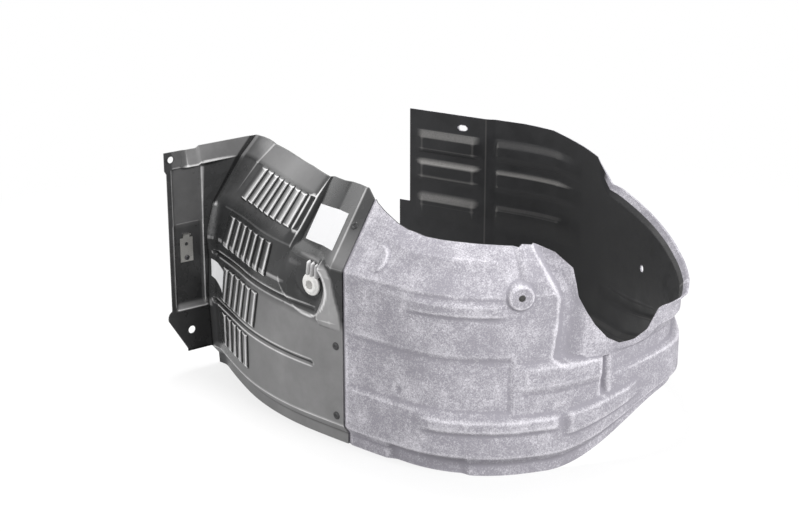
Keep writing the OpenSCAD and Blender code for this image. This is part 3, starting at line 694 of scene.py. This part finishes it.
def rgba(colour):
    """The colour with a full alpha, or its wire."""
    if isinstance(colour, Wire) or len(colour) == 4:
        return colour
    return (*colour, 1.0)


def toned(colour, share, lift=0.0):
    """A darker or paler tone of a colour."""
    return [c * share + lift for c in colour]


def felt_finish(colours):
    """Pale mottled needle felt outside, with a smooth black lining inside. The felt's crests get a
    painted highlight and its creases painted shade; the lining's upward ledges get dust and a painted
    highlight.
    """
    f = Finish("moulded_felt")
    blotch = f.between(0.36, 0.66, f.noise(13, 3, 0.6))
    patch = f.between(0.35, 0.7, f.noise(42, 4, 0.7))
    fibre = f.noise(240, 3, 0.75, distortion=1.5)
    fleck = f.noise(430, 2, 0.7)
    fold = f.attribute("fold")
    tone = blotch * 0.42 + patch * 0.3 + f.between(0.36, 0.64, fibre) * 0.7 + (fleck - 0.5) * 1.5 - 0.28
    # Painted highlight on the felt's crests and painted shade in its creases, from the fold attribute.
    tone = tone + f.between(-0.5, 0.5, fold, -0.75, 0.3)
    colour = f.mix(f.between(0.0, 1.3, tone, 0.0, 1.3), colours.felt_dark, colours.felt_light)
    rough = f.bump(fibre, 0.0004, 0.5, f.bump(patch, 0.0012, 0.35))
    felt = f.surface(Base_Color=colour, Roughness=0.95, Normal=rough, Specular_IOR_Level=0.2)
    scuff = f.noise(26, 3, 0.6)
    # The lining's upward ledges get dust and a painted highlight, and its crests a painted highlight.
    dust_and_sheen = f.attribute("grain")
    clean_and_unlit = f.mix(f.between(0.35, 0.75, scuff), colours.lining, toned(colours.lining, 1.6))
    lit = dust_and_sheen * f.between(0.3, 0.7, fibre, 0.6, 1.0) + f.between(0.1, 0.6, fold, 0.0, 0.5)
    lining = f.surface(
        Base_Color=f.mix(lit, clean_and_unlit, colours.dust_and_sheen),
        Roughness=f.between(0.3, 0.7, scuff, 0.4, 0.55), Specular_IOR_Level=0.25,
        Normal=f.bump(f.noise(300, 2), 0.0002, 0.3))
    side = f.between(0.4, 0.6, f.attribute("lining"))
    return f.done(f.node("ShaderNodeMixShader", inputs={0: side, 1: felt, 2: lining}))


def plastic_finish(colours):
    """Satin black moulded plastic with a faint grain and handling dust. Its pale parts are grain and
    painted reflections, its crests get a painted highlight and its creases painted shade.
    """
    f = Finish("black_panel_plastic")
    dust_and_sheen = f.noise(16, 4, 0.65)
    grain = f.noise(1500, 2, 0.5)
    # Paleness of grain and of painted reflections and highlights, from the mesh's attribute.
    grained_and_sheen = f.attribute("grain") * f.between(0.25, 0.75, dust_and_sheen, 0.8, 1.1)
    fold = f.attribute("fold")
    shine = f.mix(f.between(0.42, 0.8, dust_and_sheen), colours.plastic, toned(colours.plastic, 1.7, 0.006))
    shine = f.mix(grained_and_sheen * 0.5, shine, toned(colours.grained_and_sheen, 2))
    # Painted shade in the panel's creases.
    shine = f.mix(f.between(-0.4, -0.06, fold, 0.9, 0.0), shine, toned(colours.plastic, 0.5))
    # Painted highlight on the panel's crests, in the panel's pale colour made four times as pale.
    crest = f.between(0.06, 0.34, fold) * f.between(0.3, 0.6, dust_and_sheen, 0.6, 1.0)
    return f.done(f.surface(
        Base_Color=f.mix(crest, shine, toned(colours.grained_and_sheen, 4)), Specular_IOR_Level=0.3,
        Roughness=f.between(0.3, 0.75, dust_and_sheen, 0.22, 0.32) + grained_and_sheen * 0.12,
        Normal=f.bump(grain, 0.00004, 0.3, f.bump(f.noise(22, 2), 0.002, 0.12))))


def small_plastic_finish(colours):
    """Black rivet plastic with faint wear."""
    f = Finish("rivet_plastic")
    wear = f.noise(260, 3, 0.6)
    return f.done(f.surface(
        Base_Color=f.mix(f.between(0.4, 0.8, wear), colours.rivet, toned(colours.rivet, 2, 0.01)),
        Roughness=f.between(0.3, 0.7, wear, 0.34, 0.55), Normal=f.bump(wear, 0.0003, 0.3)))


def pale_finish(colours):
    """Pale cloudy plastic of the grommet."""
    f = Finish("pale_grommet_plastic")
    cloud = f.noise(180, 3, 0.6)
    return f.done(f.surface(
        Base_Color=f.mix(cloud, colours.pale, toned(colours.pale, 0.88)),
        Roughness=f.between(0.3, 0.7, cloud, 0.35, 0.5), Normal=f.bump(f.noise(700, 2), 0.0002, 0.25)))


def paper_finish(colours):
    """Bare white paper with a faint fibre and a faint painted glow."""
    f = Finish("bare_plate_paper")
    fibre = f.noise(700, 3, 0.6)
    return f.done(f.surface(
        Base_Color=f.mix(fibre, colours.paper, toned(colours.paper, 0.96)),
        # A faint white glow, a painted light, brightens the paper.
        Emission_Color=WHITE, Emission_Strength=0.22,
        Roughness=f.between(0.3, 0.7, fibre, 0.45, 0.6), Normal=f.bump(f.noise(30, 2), 0.0006, 0.3)))


def steel_finish(colours):
    """Plated spring steel, brushed along its length."""
    f = Finish("plated_spring_steel")
    brush = f.noise(160, 3, 0.6, stretch=(1, 1, 14))
    return f.done(f.surface(
        Base_Color=f.mix(f.between(0.3, 0.7, brush), colours.steel, toned(colours.steel, 0.8)),
        Metallic=0.9, Roughness=f.between(0.3, 0.7, brush, 0.26, 0.42),
        Normal=f.bump(brush, 0.0002, 0.25)))


def screw_finish(colours):
    """Dark worn screw metal."""
    f = Finish("dark_screw_metal")
    wear = f.noise(900, 2, 0.6)
    return f.done(f.surface(
        Base_Color=f.mix(wear, colours.screw, toned(colours.screw, 2.2)), Metallic=0.8,
        Roughness=f.between(0.3, 0.7, wear, 0.35, 0.5), Normal=f.bump(wear, 0.0002, 0.3)))


@functools.cache
def finish_of(maker):
    """The finish that the function makes, made when a piece first needs it."""
    return maker(bpy.context.scene.liner_colours)


# Settings

def length_prop(name, description, default):
    """A length that a user would change."""
    return FloatProperty(name=name, description=description, default=default, unit="LENGTH")


def angle_prop(name, description, degrees):
    """An angle that a user would change."""
    default = math.radians(degrees)
    return FloatProperty(name=name, description=description, default=default, subtype="ANGLE")


def colour_prop(name, description, *default):
    """A colour that a user would change."""
    return FloatVectorProperty(name=name, description=description, subtype="COLOR", default=default)


class LinerForm(bpy.types.PropertyGroup):
    """Sizes of the dressed pieces"""
    felt_t: length_prop("Felt thickness", "Thickness of the moulded felt", 3 * MM)
    panel_t: length_prop("Panel thickness", "Thickness of the plastic panel", 2.5 * MM)
    bead: length_prop("Bead depth", "Depth of the beads pressed into the felt", 6 * MM)
    fold_r: length_prop("Felt fold radius", "Rounding of the felt's folds", 2 * MM)
    crease_r: length_prop("Panel fold radius", "Rounding of the panel's folds", 1.4 * MM)
    louvre_h: length_prop("Louvre height", "Height of a louvre's lip over the wall", 3.5 * MM)


class LinerColours(bpy.types.PropertyGroup):
    """Colours of the finishes"""
    felt_light: colour_prop("Felt, light", "Palest tone of the felt", 0.71, 0.692, 0.737)
    felt_dark: colour_prop("Felt, dark", "Darkest tone of the felt", 0.305, 0.294, 0.328)
    lining: colour_prop("Lining", "Inside of the felt shell", 0.013, 0.013, 0.014)
    # Colour of the dust and of the painted highlight on the lining's upward ledges and crests.
    dust_and_sheen: colour_prop("Dust", "Dust on the lining's ledges", 0.27, 0.263, 0.255)
    plastic: colour_prop("Panel", "Black panel plastic", 0.016, 0.0165, 0.017)
    # Colour of the panel's grain and painted reflections; four times as pale it is the painted crest
    # highlight.
    grained_and_sheen: colour_prop("Panel, grained", "Grained lower part of the panel", 0.20, 0.198, 0.199)
    rivet: colour_prop("Rivets", "Black rivet plastic", 0.012, 0.012, 0.013)
    pale: colour_prop("Grommet", "Pale grommet plastic", 0.90, 0.89, 0.87)
    paper: colour_prop("Plates", "Bare paper plates", 0.55, 0.55, 0.56)
    steel: colour_prop("Clip", "Plated spring steel", 0.66, 0.65, 0.62)
    screw: colour_prop("Screw", "Dark screw", 0.05, 0.05, 0.052)


class LinerStage(bpy.types.PropertyGroup):
    """Camera and floor"""
    azimuth: angle_prop("Azimuth", "Direction that the camera looks from", 30)
    elevation: angle_prop("Elevation", "Camera's height as an angle", 19.5)
    distance: length_prop("Distance", "From the camera to its aim", 3.4)
    aim: FloatVectorProperty(name="Aim", description="Point that the camera looks at", subtype="XYZ",
                             unit="LENGTH", default=(-0.0911, -0.0122, 0.200))
    lens: FloatProperty(name="Lens", description="Focal length", default=83.35, unit="CAMERA")
    floor_r: length_prop("Floor radius", "Radius of the round floor", 9.0)


# Operators

class LINER_OT_felt_shell(bpy.types.Operator):
    """Make the moulded felt shell"""
    bl_idname = "liner.felt_shell"
    bl_label = "Felt shell"

    def execute(self, context):
        form = context.scene.liner_form
        reliefs = felt_reliefs(form.bead / MM)
        near_crescent = stations([502, 542], 2.4)
        near_pad = stations([PAD_S - PAD_R - 4, PAD_S + PAD_R + 4], 2.4)
        s = np.unique(np.concatenate([stations(FELT_COLS, 5.6), near_crescent, near_pad]))
        v = np.unique(np.concatenate([stations(FELT_LEVELS, 4.8), stations([290, 364], 2.6)]))
        s, v = np.meshgrid(s, v, indexing="ij")
        inset = softened(lambda a, b: felt_inset(a, b, reliefs), s, v, form.fold_r / MM)
        z = felt_z(s, v)
        mid_s, mid_v = (s[1:, 1:] + s[:-1, :-1]) / 2, (v[1:, 1:] + v[:-1, :-1]) / 2
        kept = (mid_s < WALL_LEN) | (mid_v < LEVEL_BASE)
        rolled_out = window((1090, 1130, REAR_A - 20, REAR_A + 30), s) * ramp(361, 364, v)
        back = at(s, z, thick(inset, z, form.felt_t / MM))
        # A negative value that takes dust and painted highlight off the lining's upward ledges: most up
        # to s 1620, less up to the jog and none past it.
        clean_and_unlit = -lookup(s, ((1620, 0.9), (1680, 0.4), (JOG_S - 16, 0.4), (JOG_S + 9, 0)))
        mesh = sheet_mesh("felt_shell_skin", at(s, z, inset), back, kept, 1 - rolled_out, clean_and_unlit)
        piece = new_object("felt_shell_skin", mesh, finish_of(felt_finish))
        drill(piece, [wall_hole(PAD_S, PAD_Z, PAD_HOLE_R), wall_hole(*REAR_HOLE), wall_hole(*LEG_SLOT)])
        finish_piece(piece, 50, "felt_shell")
        return {"FINISHED"}


def add_ribs(mesh):
    """Adds the half-round ribs above the grommet to the panel's mesh, with their feet in the wall."""
    bm = bmesh.new()
    bm.from_mesh(mesh)
    grain, fold = bm.verts.layers.float["grain"], bm.verts.layers.float["fold"]
    levels, turn = np.linspace(*RIB_VS, 11), np.linspace(0, math.pi, 13)
    for s in RIB_SS:
        rings = []
        here = s + 0 * levels
        for v, z, inset in zip(levels, panel_z(here, levels), panel_plain(here, levels)):
            swell = RIB_R * min(1.0, 0.35 + (RIB_VS[1] - v) / 3, 0.35 + (v - RIB_VS[0]) / 3)
            inset = inset + RIB_SINK - (RIB_SINK + swell) * np.sin(turn)
            rings.append([bm.verts.new(spot * MM) for spot in at(s + swell * np.cos(turn), z, inset)])
        for vert in itertools.chain(*rings):
            # A pale value and a fold value that paint a highlight on the ribs.
            vert[grain], vert[fold] = 0.8, 0.3
        for one, two in zip(rings, rings[1:]):
            for k in range(len(turn)):
                j = (k + 1) % len(turn)
                bm.faces.new((one[k], one[j], two[j], two[k]))
        bm.faces.new(rings[0])
        bm.faces.new(rings[-1][::-1])
    bmesh.ops.recalc_face_normals(bm, faces=bm.faces)
    bm.to_mesh(mesh)
    bm.free()


def panel_stations(crease):
    """Places along the panel's wall, with those of its louvres."""
    lips = lips_of(max(row.count for row in LOUVRE_ROWS))
    keys = {12, 36, *lips, *(x + LOUVRE_SLIT for x in lips), *(x + LOUVRE_GAP for x in lips),
            LOUVRE_S - LOUVRE_PITCH + LOUVRE_GAP}
    side = stations([*CHANNEL_SS, RIDGE_S + RIDGE_W, GROOVE_END - 8, GROOVE_END, 398, 404, SEAM_S],
                    4.0, crease)
    return np.unique(np.concatenate([stations(sorted(keys), 5.5), side]).round(4))


def flange_sheet(u, v, crease, thickness):
    """Face and back of the mounting flange."""
    z = flange_z(u, v)
    reach = flange_reach(z)
    tight = np.minimum(u, reach - (FLANGE_W + 4 - u) * 0.35)
    out = np.where(u >= FLANGE_W - NEAR, reach, tight)
    depth = softened(lambda a, b: pressed(FLANGE_RELIEFS, a, b), u, v, crease)
    return out_from(out, depth + thickness, z), out_from(out, depth, z)


def fold_line(v, crease, thickness):
    """Face and back of the fold between the flange and the wall."""
    start, up = 0 * v[None, :], v[None, :]
    inset = softened(panel_base, start, up, crease)
    z = panel_z(start, up)
    return out_from(-inset, thickness + start, z), out_from(-thick(inset, z, thickness), start, z)


def columns_between(a, b, steps):
    """The columns of points that lie between columns a and b, so many steps apart."""
    return [a * (1 - w) + b * w for w in np.linspace(0, 1, steps + 1)[1:-1]]


def panel_tones(shape, u, vu, s, vs):
    """How pale the panel is at each point, its paleness holding grain and painted reflections and
    highlights, and how keenly its folds show as painted highlight and shade. The columns are those of
    the flange, those between and those of the wall."""
    # Painted reflection on the flange's brow and painted highlights on its ledge and shelf.
    brow = (u < EAR_U) * (1 - ramp(EAR_U - 10, EAR_U, u)) * ramp(386, 392, vu)
    ledge = window((118, 120, 128, 134), vu) * window((4, 20, 80, 90), u)
    shelf = 0.28 * window(FLOOR_US, u) * ramp(278, 284, vu)
    pale = np.zeros(shape)
    pale[:len(u)] = np.maximum(np.maximum(0.6 * brow, 1.1 * ledge), shelf) + 0.12
    pale[len(u):-len(s)] = pale[len(u) - 1]
    pale[-len(s):] = grain_and_sheen_share(s, vs)
    # How strongly the folds paint highlight and shade: weaker on the flange, around the kink and on the
    # pocket's rim.
    keen = np.ones(shape)
    keen[:len(u)] = 0.4
    pocket_rim = 0.7 * window((392, 398, 410, 425), s) * window((200, 210, 296, 304), vs)
    keen[-len(s):] = 1 - np.maximum(0.65 * window((296, 304, 326, 332), vs), pocket_rim)
    return pale, keen


class LINER_OT_front_panel(bpy.types.Operator):
    """Make the louvred front panel with its flange"""
    bl_idname = "liner.front_panel"
    bl_label = "Front panel"

    def execute(self, context):
        form = context.scene.liner_form
        crease, thickness = form.crease_r / MM, form.panel_t / MM
        v = stations(PANEL_LEVELS, 5.0, crease)
        s, vs = np.meshgrid(panel_stations(crease), v, indexing="ij")
        u, vu = np.meshgrid(stations(FLANGE_US, 4.0, crease)[::-1], v, indexing="ij")
        z = panel_z(s, vs)
        inset = softened(panel_base, s, vs, crease)
        hood = louvres(s, vs, form.louvre_h / MM)
        wall = at(s, z, inset - hood), at(s, z, thick(inset, z, thickness) - hood)
        flange = flange_sheet(u, vu, crease, thickness)
        fold = fold_line(v, crease, thickness)
        face, back = (np.concatenate([
            flange[k], *columns_between(flange[k][-1:], fold[k], 8), fold[k],
            *columns_between(fold[k], wall[k][:1], 3), wall[k]]) for k in (0, 1))
        mid_v = (v[1:] + v[:-1]) / 2
        kept = np.ones((len(face) - 1, len(v) - 1), bool)
        kept[:len(face) - len(s) - 3] = mid_v > LIP_TOP
        kept[-(len(s) - 1):] = ~slot_cells((s[1:, 1:] + s[:-1, 1:]) / 2, mid_v[None, :])
        pale, keen = panel_tones(face.shape[:2], u, vu, s, vs)
        mesh = sheet_mesh("front_panel_skin", face, back, kept, grain=pale, keen=keen)
        piece = new_object("front_panel_skin", mesh, finish_of(plastic_finish))
        holes = [wall_hole(GROMMET_S, GROMMET_Z, SEAT_HOLE_R, SEAT_INSET)]
        holes += [(out_from(out, 0, up), FLANGE_NORMAL, radius, 0) for out, up, radius in FLANGE_HOLES]
        drill(piece, holes)
        add_ribs(piece.data)
        finish_piece(piece, 38, "front_panel")
        return {"FINISHED"}


class LINER_OT_grommet(bpy.types.Operator):
    """Make the pale grommet"""
    bl_idname = "liner.grommet"
    bl_label = "Grommet"

    def execute(self, context):
        point, axis = wall_hole(GROMMET_S, GROMMET_Z, SEAT_HOLE_R, SEAT_INSET)[:2]
        outward = (-axis[0], -axis[1], 0)
        piece = lathe("grommet_ring", GROMMET_PROFILE, 72, point, outward, finish_of(pale_finish))
        finish_piece(piece, 40, "grommet")
        return {"FINISHED"}


class LINER_OT_rivets(bpy.types.Operator):
    """Make the panel's rivets"""
    bl_idname = "liner.rivets"
    bl_label = "Rivets"

    def execute(self, context):
        model = lathe("rivet_model", RIVET_PROFILE, 28, (0, 0, 0), (0, 0, 1))
        places = bpy.data.meshes.new("rivet_places")
        spots, turns = [], []
        for z in RIVET_ZS:
            lean = math.atan(LEAN) if z > KINK_Z else 0
            (x,), (y,), (h,) = plan(np.array([RIVET_S]), leaning(z))
            spots.append((x * MM, y * MM, z * MM))
            out = Vector((math.sin(h) * math.cos(lean), -math.cos(h) * math.cos(lean), math.sin(lean)))
            turns.append(out.to_track_quat("Z", "Y").to_euler())
        places.from_pydata(spots, [], [])
        turn = places.attributes.new("turn", "FLOAT_VECTOR", "POINT")
        turn.data.foreach_set("vector", [a for e in turns for a in e])
        plastic = finish_of(small_plastic_finish)
        piece = new_object("rivet_heads", places, plastic)
        spread_copies(piece, model, plastic)
        discard(model)
        finish_piece(piece, 40, "panel_rivets")
        return {"FINISHED"}


def spread_copies(piece, model, material):
    """Puts a copy of the model at each point of the piece, turned by its turn attribute."""
    group = bpy.data.node_groups.new("copies_on_points", "GeometryNodeTree")
    group.interface.new_socket("Geometry", in_out="INPUT", socket_type="NodeSocketGeometry")
    size = group.interface.new_socket("Size", in_out="INPUT", socket_type="NodeSocketFloat")
    group.interface.new_socket("Geometry", in_out="OUTPUT", socket_type="NodeSocketGeometry")
    tree = Tree(group)
    points = tree.node("NodeGroupInput", output="Geometry")
    turn = tree.node("GeometryNodeInputNamedAttribute", {"data_type": "FLOAT_VECTOR"}, {"Name": "turn"})
    copy = tree.node("GeometryNodeObjectInfo", inputs={"Object": model}, output="Geometry")
    copies = tree.node("GeometryNodeInstanceOnPoints", inputs={
        "Points": points, "Instance": copy, "Rotation": turn, "Scale": points.beside("Size")})
    real = tree.node("GeometryNodeRealizeInstances", inputs={"Geometry": copies})
    painted = tree.node("GeometryNodeSetMaterial", inputs={"Geometry": real, "Material": material})
    tree.node("NodeGroupOutput", inputs={"Geometry": painted}, output=None)
    modifier = piece.modifiers.new("copies", "NODES")
    modifier.node_group = group
    modifier[size.identifier] = 1.0
    bake(piece)


class LINER_OT_clip(bpy.types.Operator):
    """Give the spring clip its plated steel finish and make its screw"""
    bl_idname = "liner.clip"
    bl_label = "Spring clip"

    def execute(self, context):
        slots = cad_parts["spring_clip"].data.materials
        slots.clear()
        slots.append(finish_of(steel_finish))
        on_clip = context.scene.liner_form.panel_t / MM - FLOOR_D + CLIP_T
        screw = lathe("clip_screw_head", SCREW_PROFILE, 32, out_from(CLIP_U, on_clip, CLIP_Z),
                      FLANGE_NORMAL, finish_of(screw_finish))
        finish_piece(screw, 40, "clip_screw")
        return {"FINISHED"}


class LINER_OT_plates(bpy.types.Operator):
    """Make the two bare paper plates"""
    bl_idname = "liner.plates"
    bl_label = "Plates"

    def execute(self, context):
        form = context.scene.liner_form
        cols, rows = PLATE_CELLS
        across, up = np.meshgrid(np.linspace(0, 1, cols + 1), np.linspace(0, 1, rows + 1), indexing="ij")
        across, up = across[..., None], up[..., None]
        for name, quad in PLATES.items():
            a, b, c, d = (np.array(corner, float) for corner in quad)
            spots = (a * (1 - across) + b * across) * up + (d * (1 - across) + c * across) * (1 - up)
            s, z = spots[..., 0], spots[..., 1]
            v = level_of(s, z)
            inset = softened(panel_base, s, v, form.crease_r / MM) - louvres(s, v, form.louvre_h / MM)
            mesh = sheet_mesh(name, at(s, z, inset - PLATE_LIFT - PLATE_T), at(s, z, inset - PLATE_LIFT),
                              np.ones(PLATE_CELLS, bool))
            finish_piece(new_object(name, mesh, finish_of(paper_finish)), 40)
        return {"FINISHED"}


def level_of(s, z):
    """The panel's level at height z, found by halving."""
    low, high = np.zeros_like(z), np.full_like(z, PANEL_LEVEL_TOP)
    for _ in range(24):
        mid = (low + high) / 2
        above = panel_z(s, mid) > z
        low, high = np.where(above, low, mid), np.where(above, mid, high)
    return (low + high) / 2


class LINER_OT_stage(bpy.types.Operator):
    """Make the floor, the lamps, the world and the camera"""
    bl_idname = "liner.stage"
    bl_label = "Stage"

    def execute(self, context):
        scene, stage = context.scene, context.scene.liner_stage
        self.floor(scene, stage)
        aim = Vector(stage.aim)
        for name, place, (wide, high), power in LAMPS:
            lamp = bpy.data.lights.new(name, "AREA")
            lamp.shape, lamp.size, lamp.size_y, lamp.energy = "RECTANGLE", wide, high, power
            self.aimed(lamp, aim, Vector(place))
        camera = bpy.data.cameras.new("camera")
        camera.lens, camera.sensor_width = stage.lens, 36
        camera.clip_start, camera.clip_end = 0.05, 60
        back = Vector((math.sin(stage.azimuth) * math.cos(stage.elevation),
                       -math.cos(stage.azimuth) * math.cos(stage.elevation), math.sin(stage.elevation)))
        scene.camera = self.aimed(camera, aim, back * stage.distance)
        self.world(scene)
        scene.view_settings.view_transform = "Standard"
        return {"FINISHED"}

    def floor(self, scene, stage):
        bm = bmesh.new()
        bmesh.ops.create_circle(bm, cap_ends=True, segments=96, radius=stage.floor_r)
        bmesh.ops.translate(bm, verts=bm.verts, vec=(0, 0, CAD_BOX[0].z - FLOOR_GAP))
        f = Finish("pale_floor")
        bounced = f.node("ShaderNodeLightPath", output="Is Diffuse Ray")
        paint = f.surface(Base_Color=f.mix(bounced, (0.9, 0.9, 0.9), (0.4, 0.4, 0.4)), Roughness=0.8)
        white = f.node("ShaderNodeEmission", inputs={"Color": WHITE, "Strength": 1.0})
        spot = f.node("ShaderNodeVectorMath", {"operation": "LENGTH"}, {0: f.place()}, output="Value")
        rays = f.node("ShaderNodeLightPath", output="Is Camera Ray")
        rays = rays + rays.beside("Is Glossy Ray")
        far = f.between(0.65, 1.5, spot, 0.76, 1.0) * rays
        f.done(f.node("ShaderNodeMixShader", inputs={0: far, 1: paint, 2: white}))
        new_object("floor", mesh_of(bm, "floor"), f.material)

    def aimed(self, lamp_or_camera, aim, back):
        """Holds a lamp or the camera at a place back from the aim, turned to it."""
        holder = new_object(lamp_or_camera.name, lamp_or_camera)
        holder.location = aim + back
        holder.rotation_euler = (-back).to_track_quat("-Z", "Y").to_euler()
        return holder

    def world(self, scene):
        world = bpy.data.worlds.new("soft_room")
        scene.world = world
        world.use_nodes = True
        tree = Tree(world.node_tree)
        rays = tree.node("ShaderNodeLightPath", output="Is Camera Ray")
        rays = rays + rays.beside("Is Transmission Ray") + rays.beside("Is Glossy Ray")
        room = tree.node("ShaderNodeBackground", inputs={"Color": WHITE, "Strength": ROOM_LIGHT})
        white = tree.node("ShaderNodeBackground", inputs={"Color": WHITE, "Strength": 1.0})
        shown = tree.node("ShaderNodeMixShader", inputs={0: rays, 1: room, 2: white})
        tree.node("ShaderNodeOutputWorld", inputs={"Surface": shown}, output=None)


class LINER_PT_sidebar(bpy.types.Panel):
    """Lists the liner's pieces and settings"""
    bl_idname = "LINER_PT_sidebar"
    bl_label = "Wheel arch liner"
    bl_space_type = "VIEW_3D"
    bl_region_type = "UI"
    bl_category = "Liner"

    def draw(self, context):
        for operator in STEPS:
            self.layout.operator(operator.bl_idname)
        for key, group in GROUPS.items():
            box = self.layout.box()
            for name in group.__annotations__:
                box.prop(getattr(context.scene, key), name)


GROUPS = {"liner_form": LinerForm, "liner_colours": LinerColours, "liner_stage": LinerStage}
STEPS = (LINER_OT_felt_shell, LINER_OT_front_panel, LINER_OT_grommet, LINER_OT_rivets, LINER_OT_clip,
         LINER_OT_plates, LINER_OT_stage)
CLASSES = (*GROUPS.values(), *STEPS, LINER_PT_sidebar)


def register():
    for made in CLASSES:
        bpy.utils.register_class(made)
    for key, group in GROUPS.items():
        setattr(bpy.types.Scene, key, PointerProperty(type=group))


def unregister():
    for key in GROUPS:
        delattr(bpy.types.Scene, key)
    for made in reversed(CLASSES):
        bpy.utils.unregister_class(made)


def main():
    register()
    for operator in STEPS:
        group, name = operator.bl_idname.split(".")
        getattr(getattr(bpy.ops, group), name)()


if __name__ == "__main__":
    main()
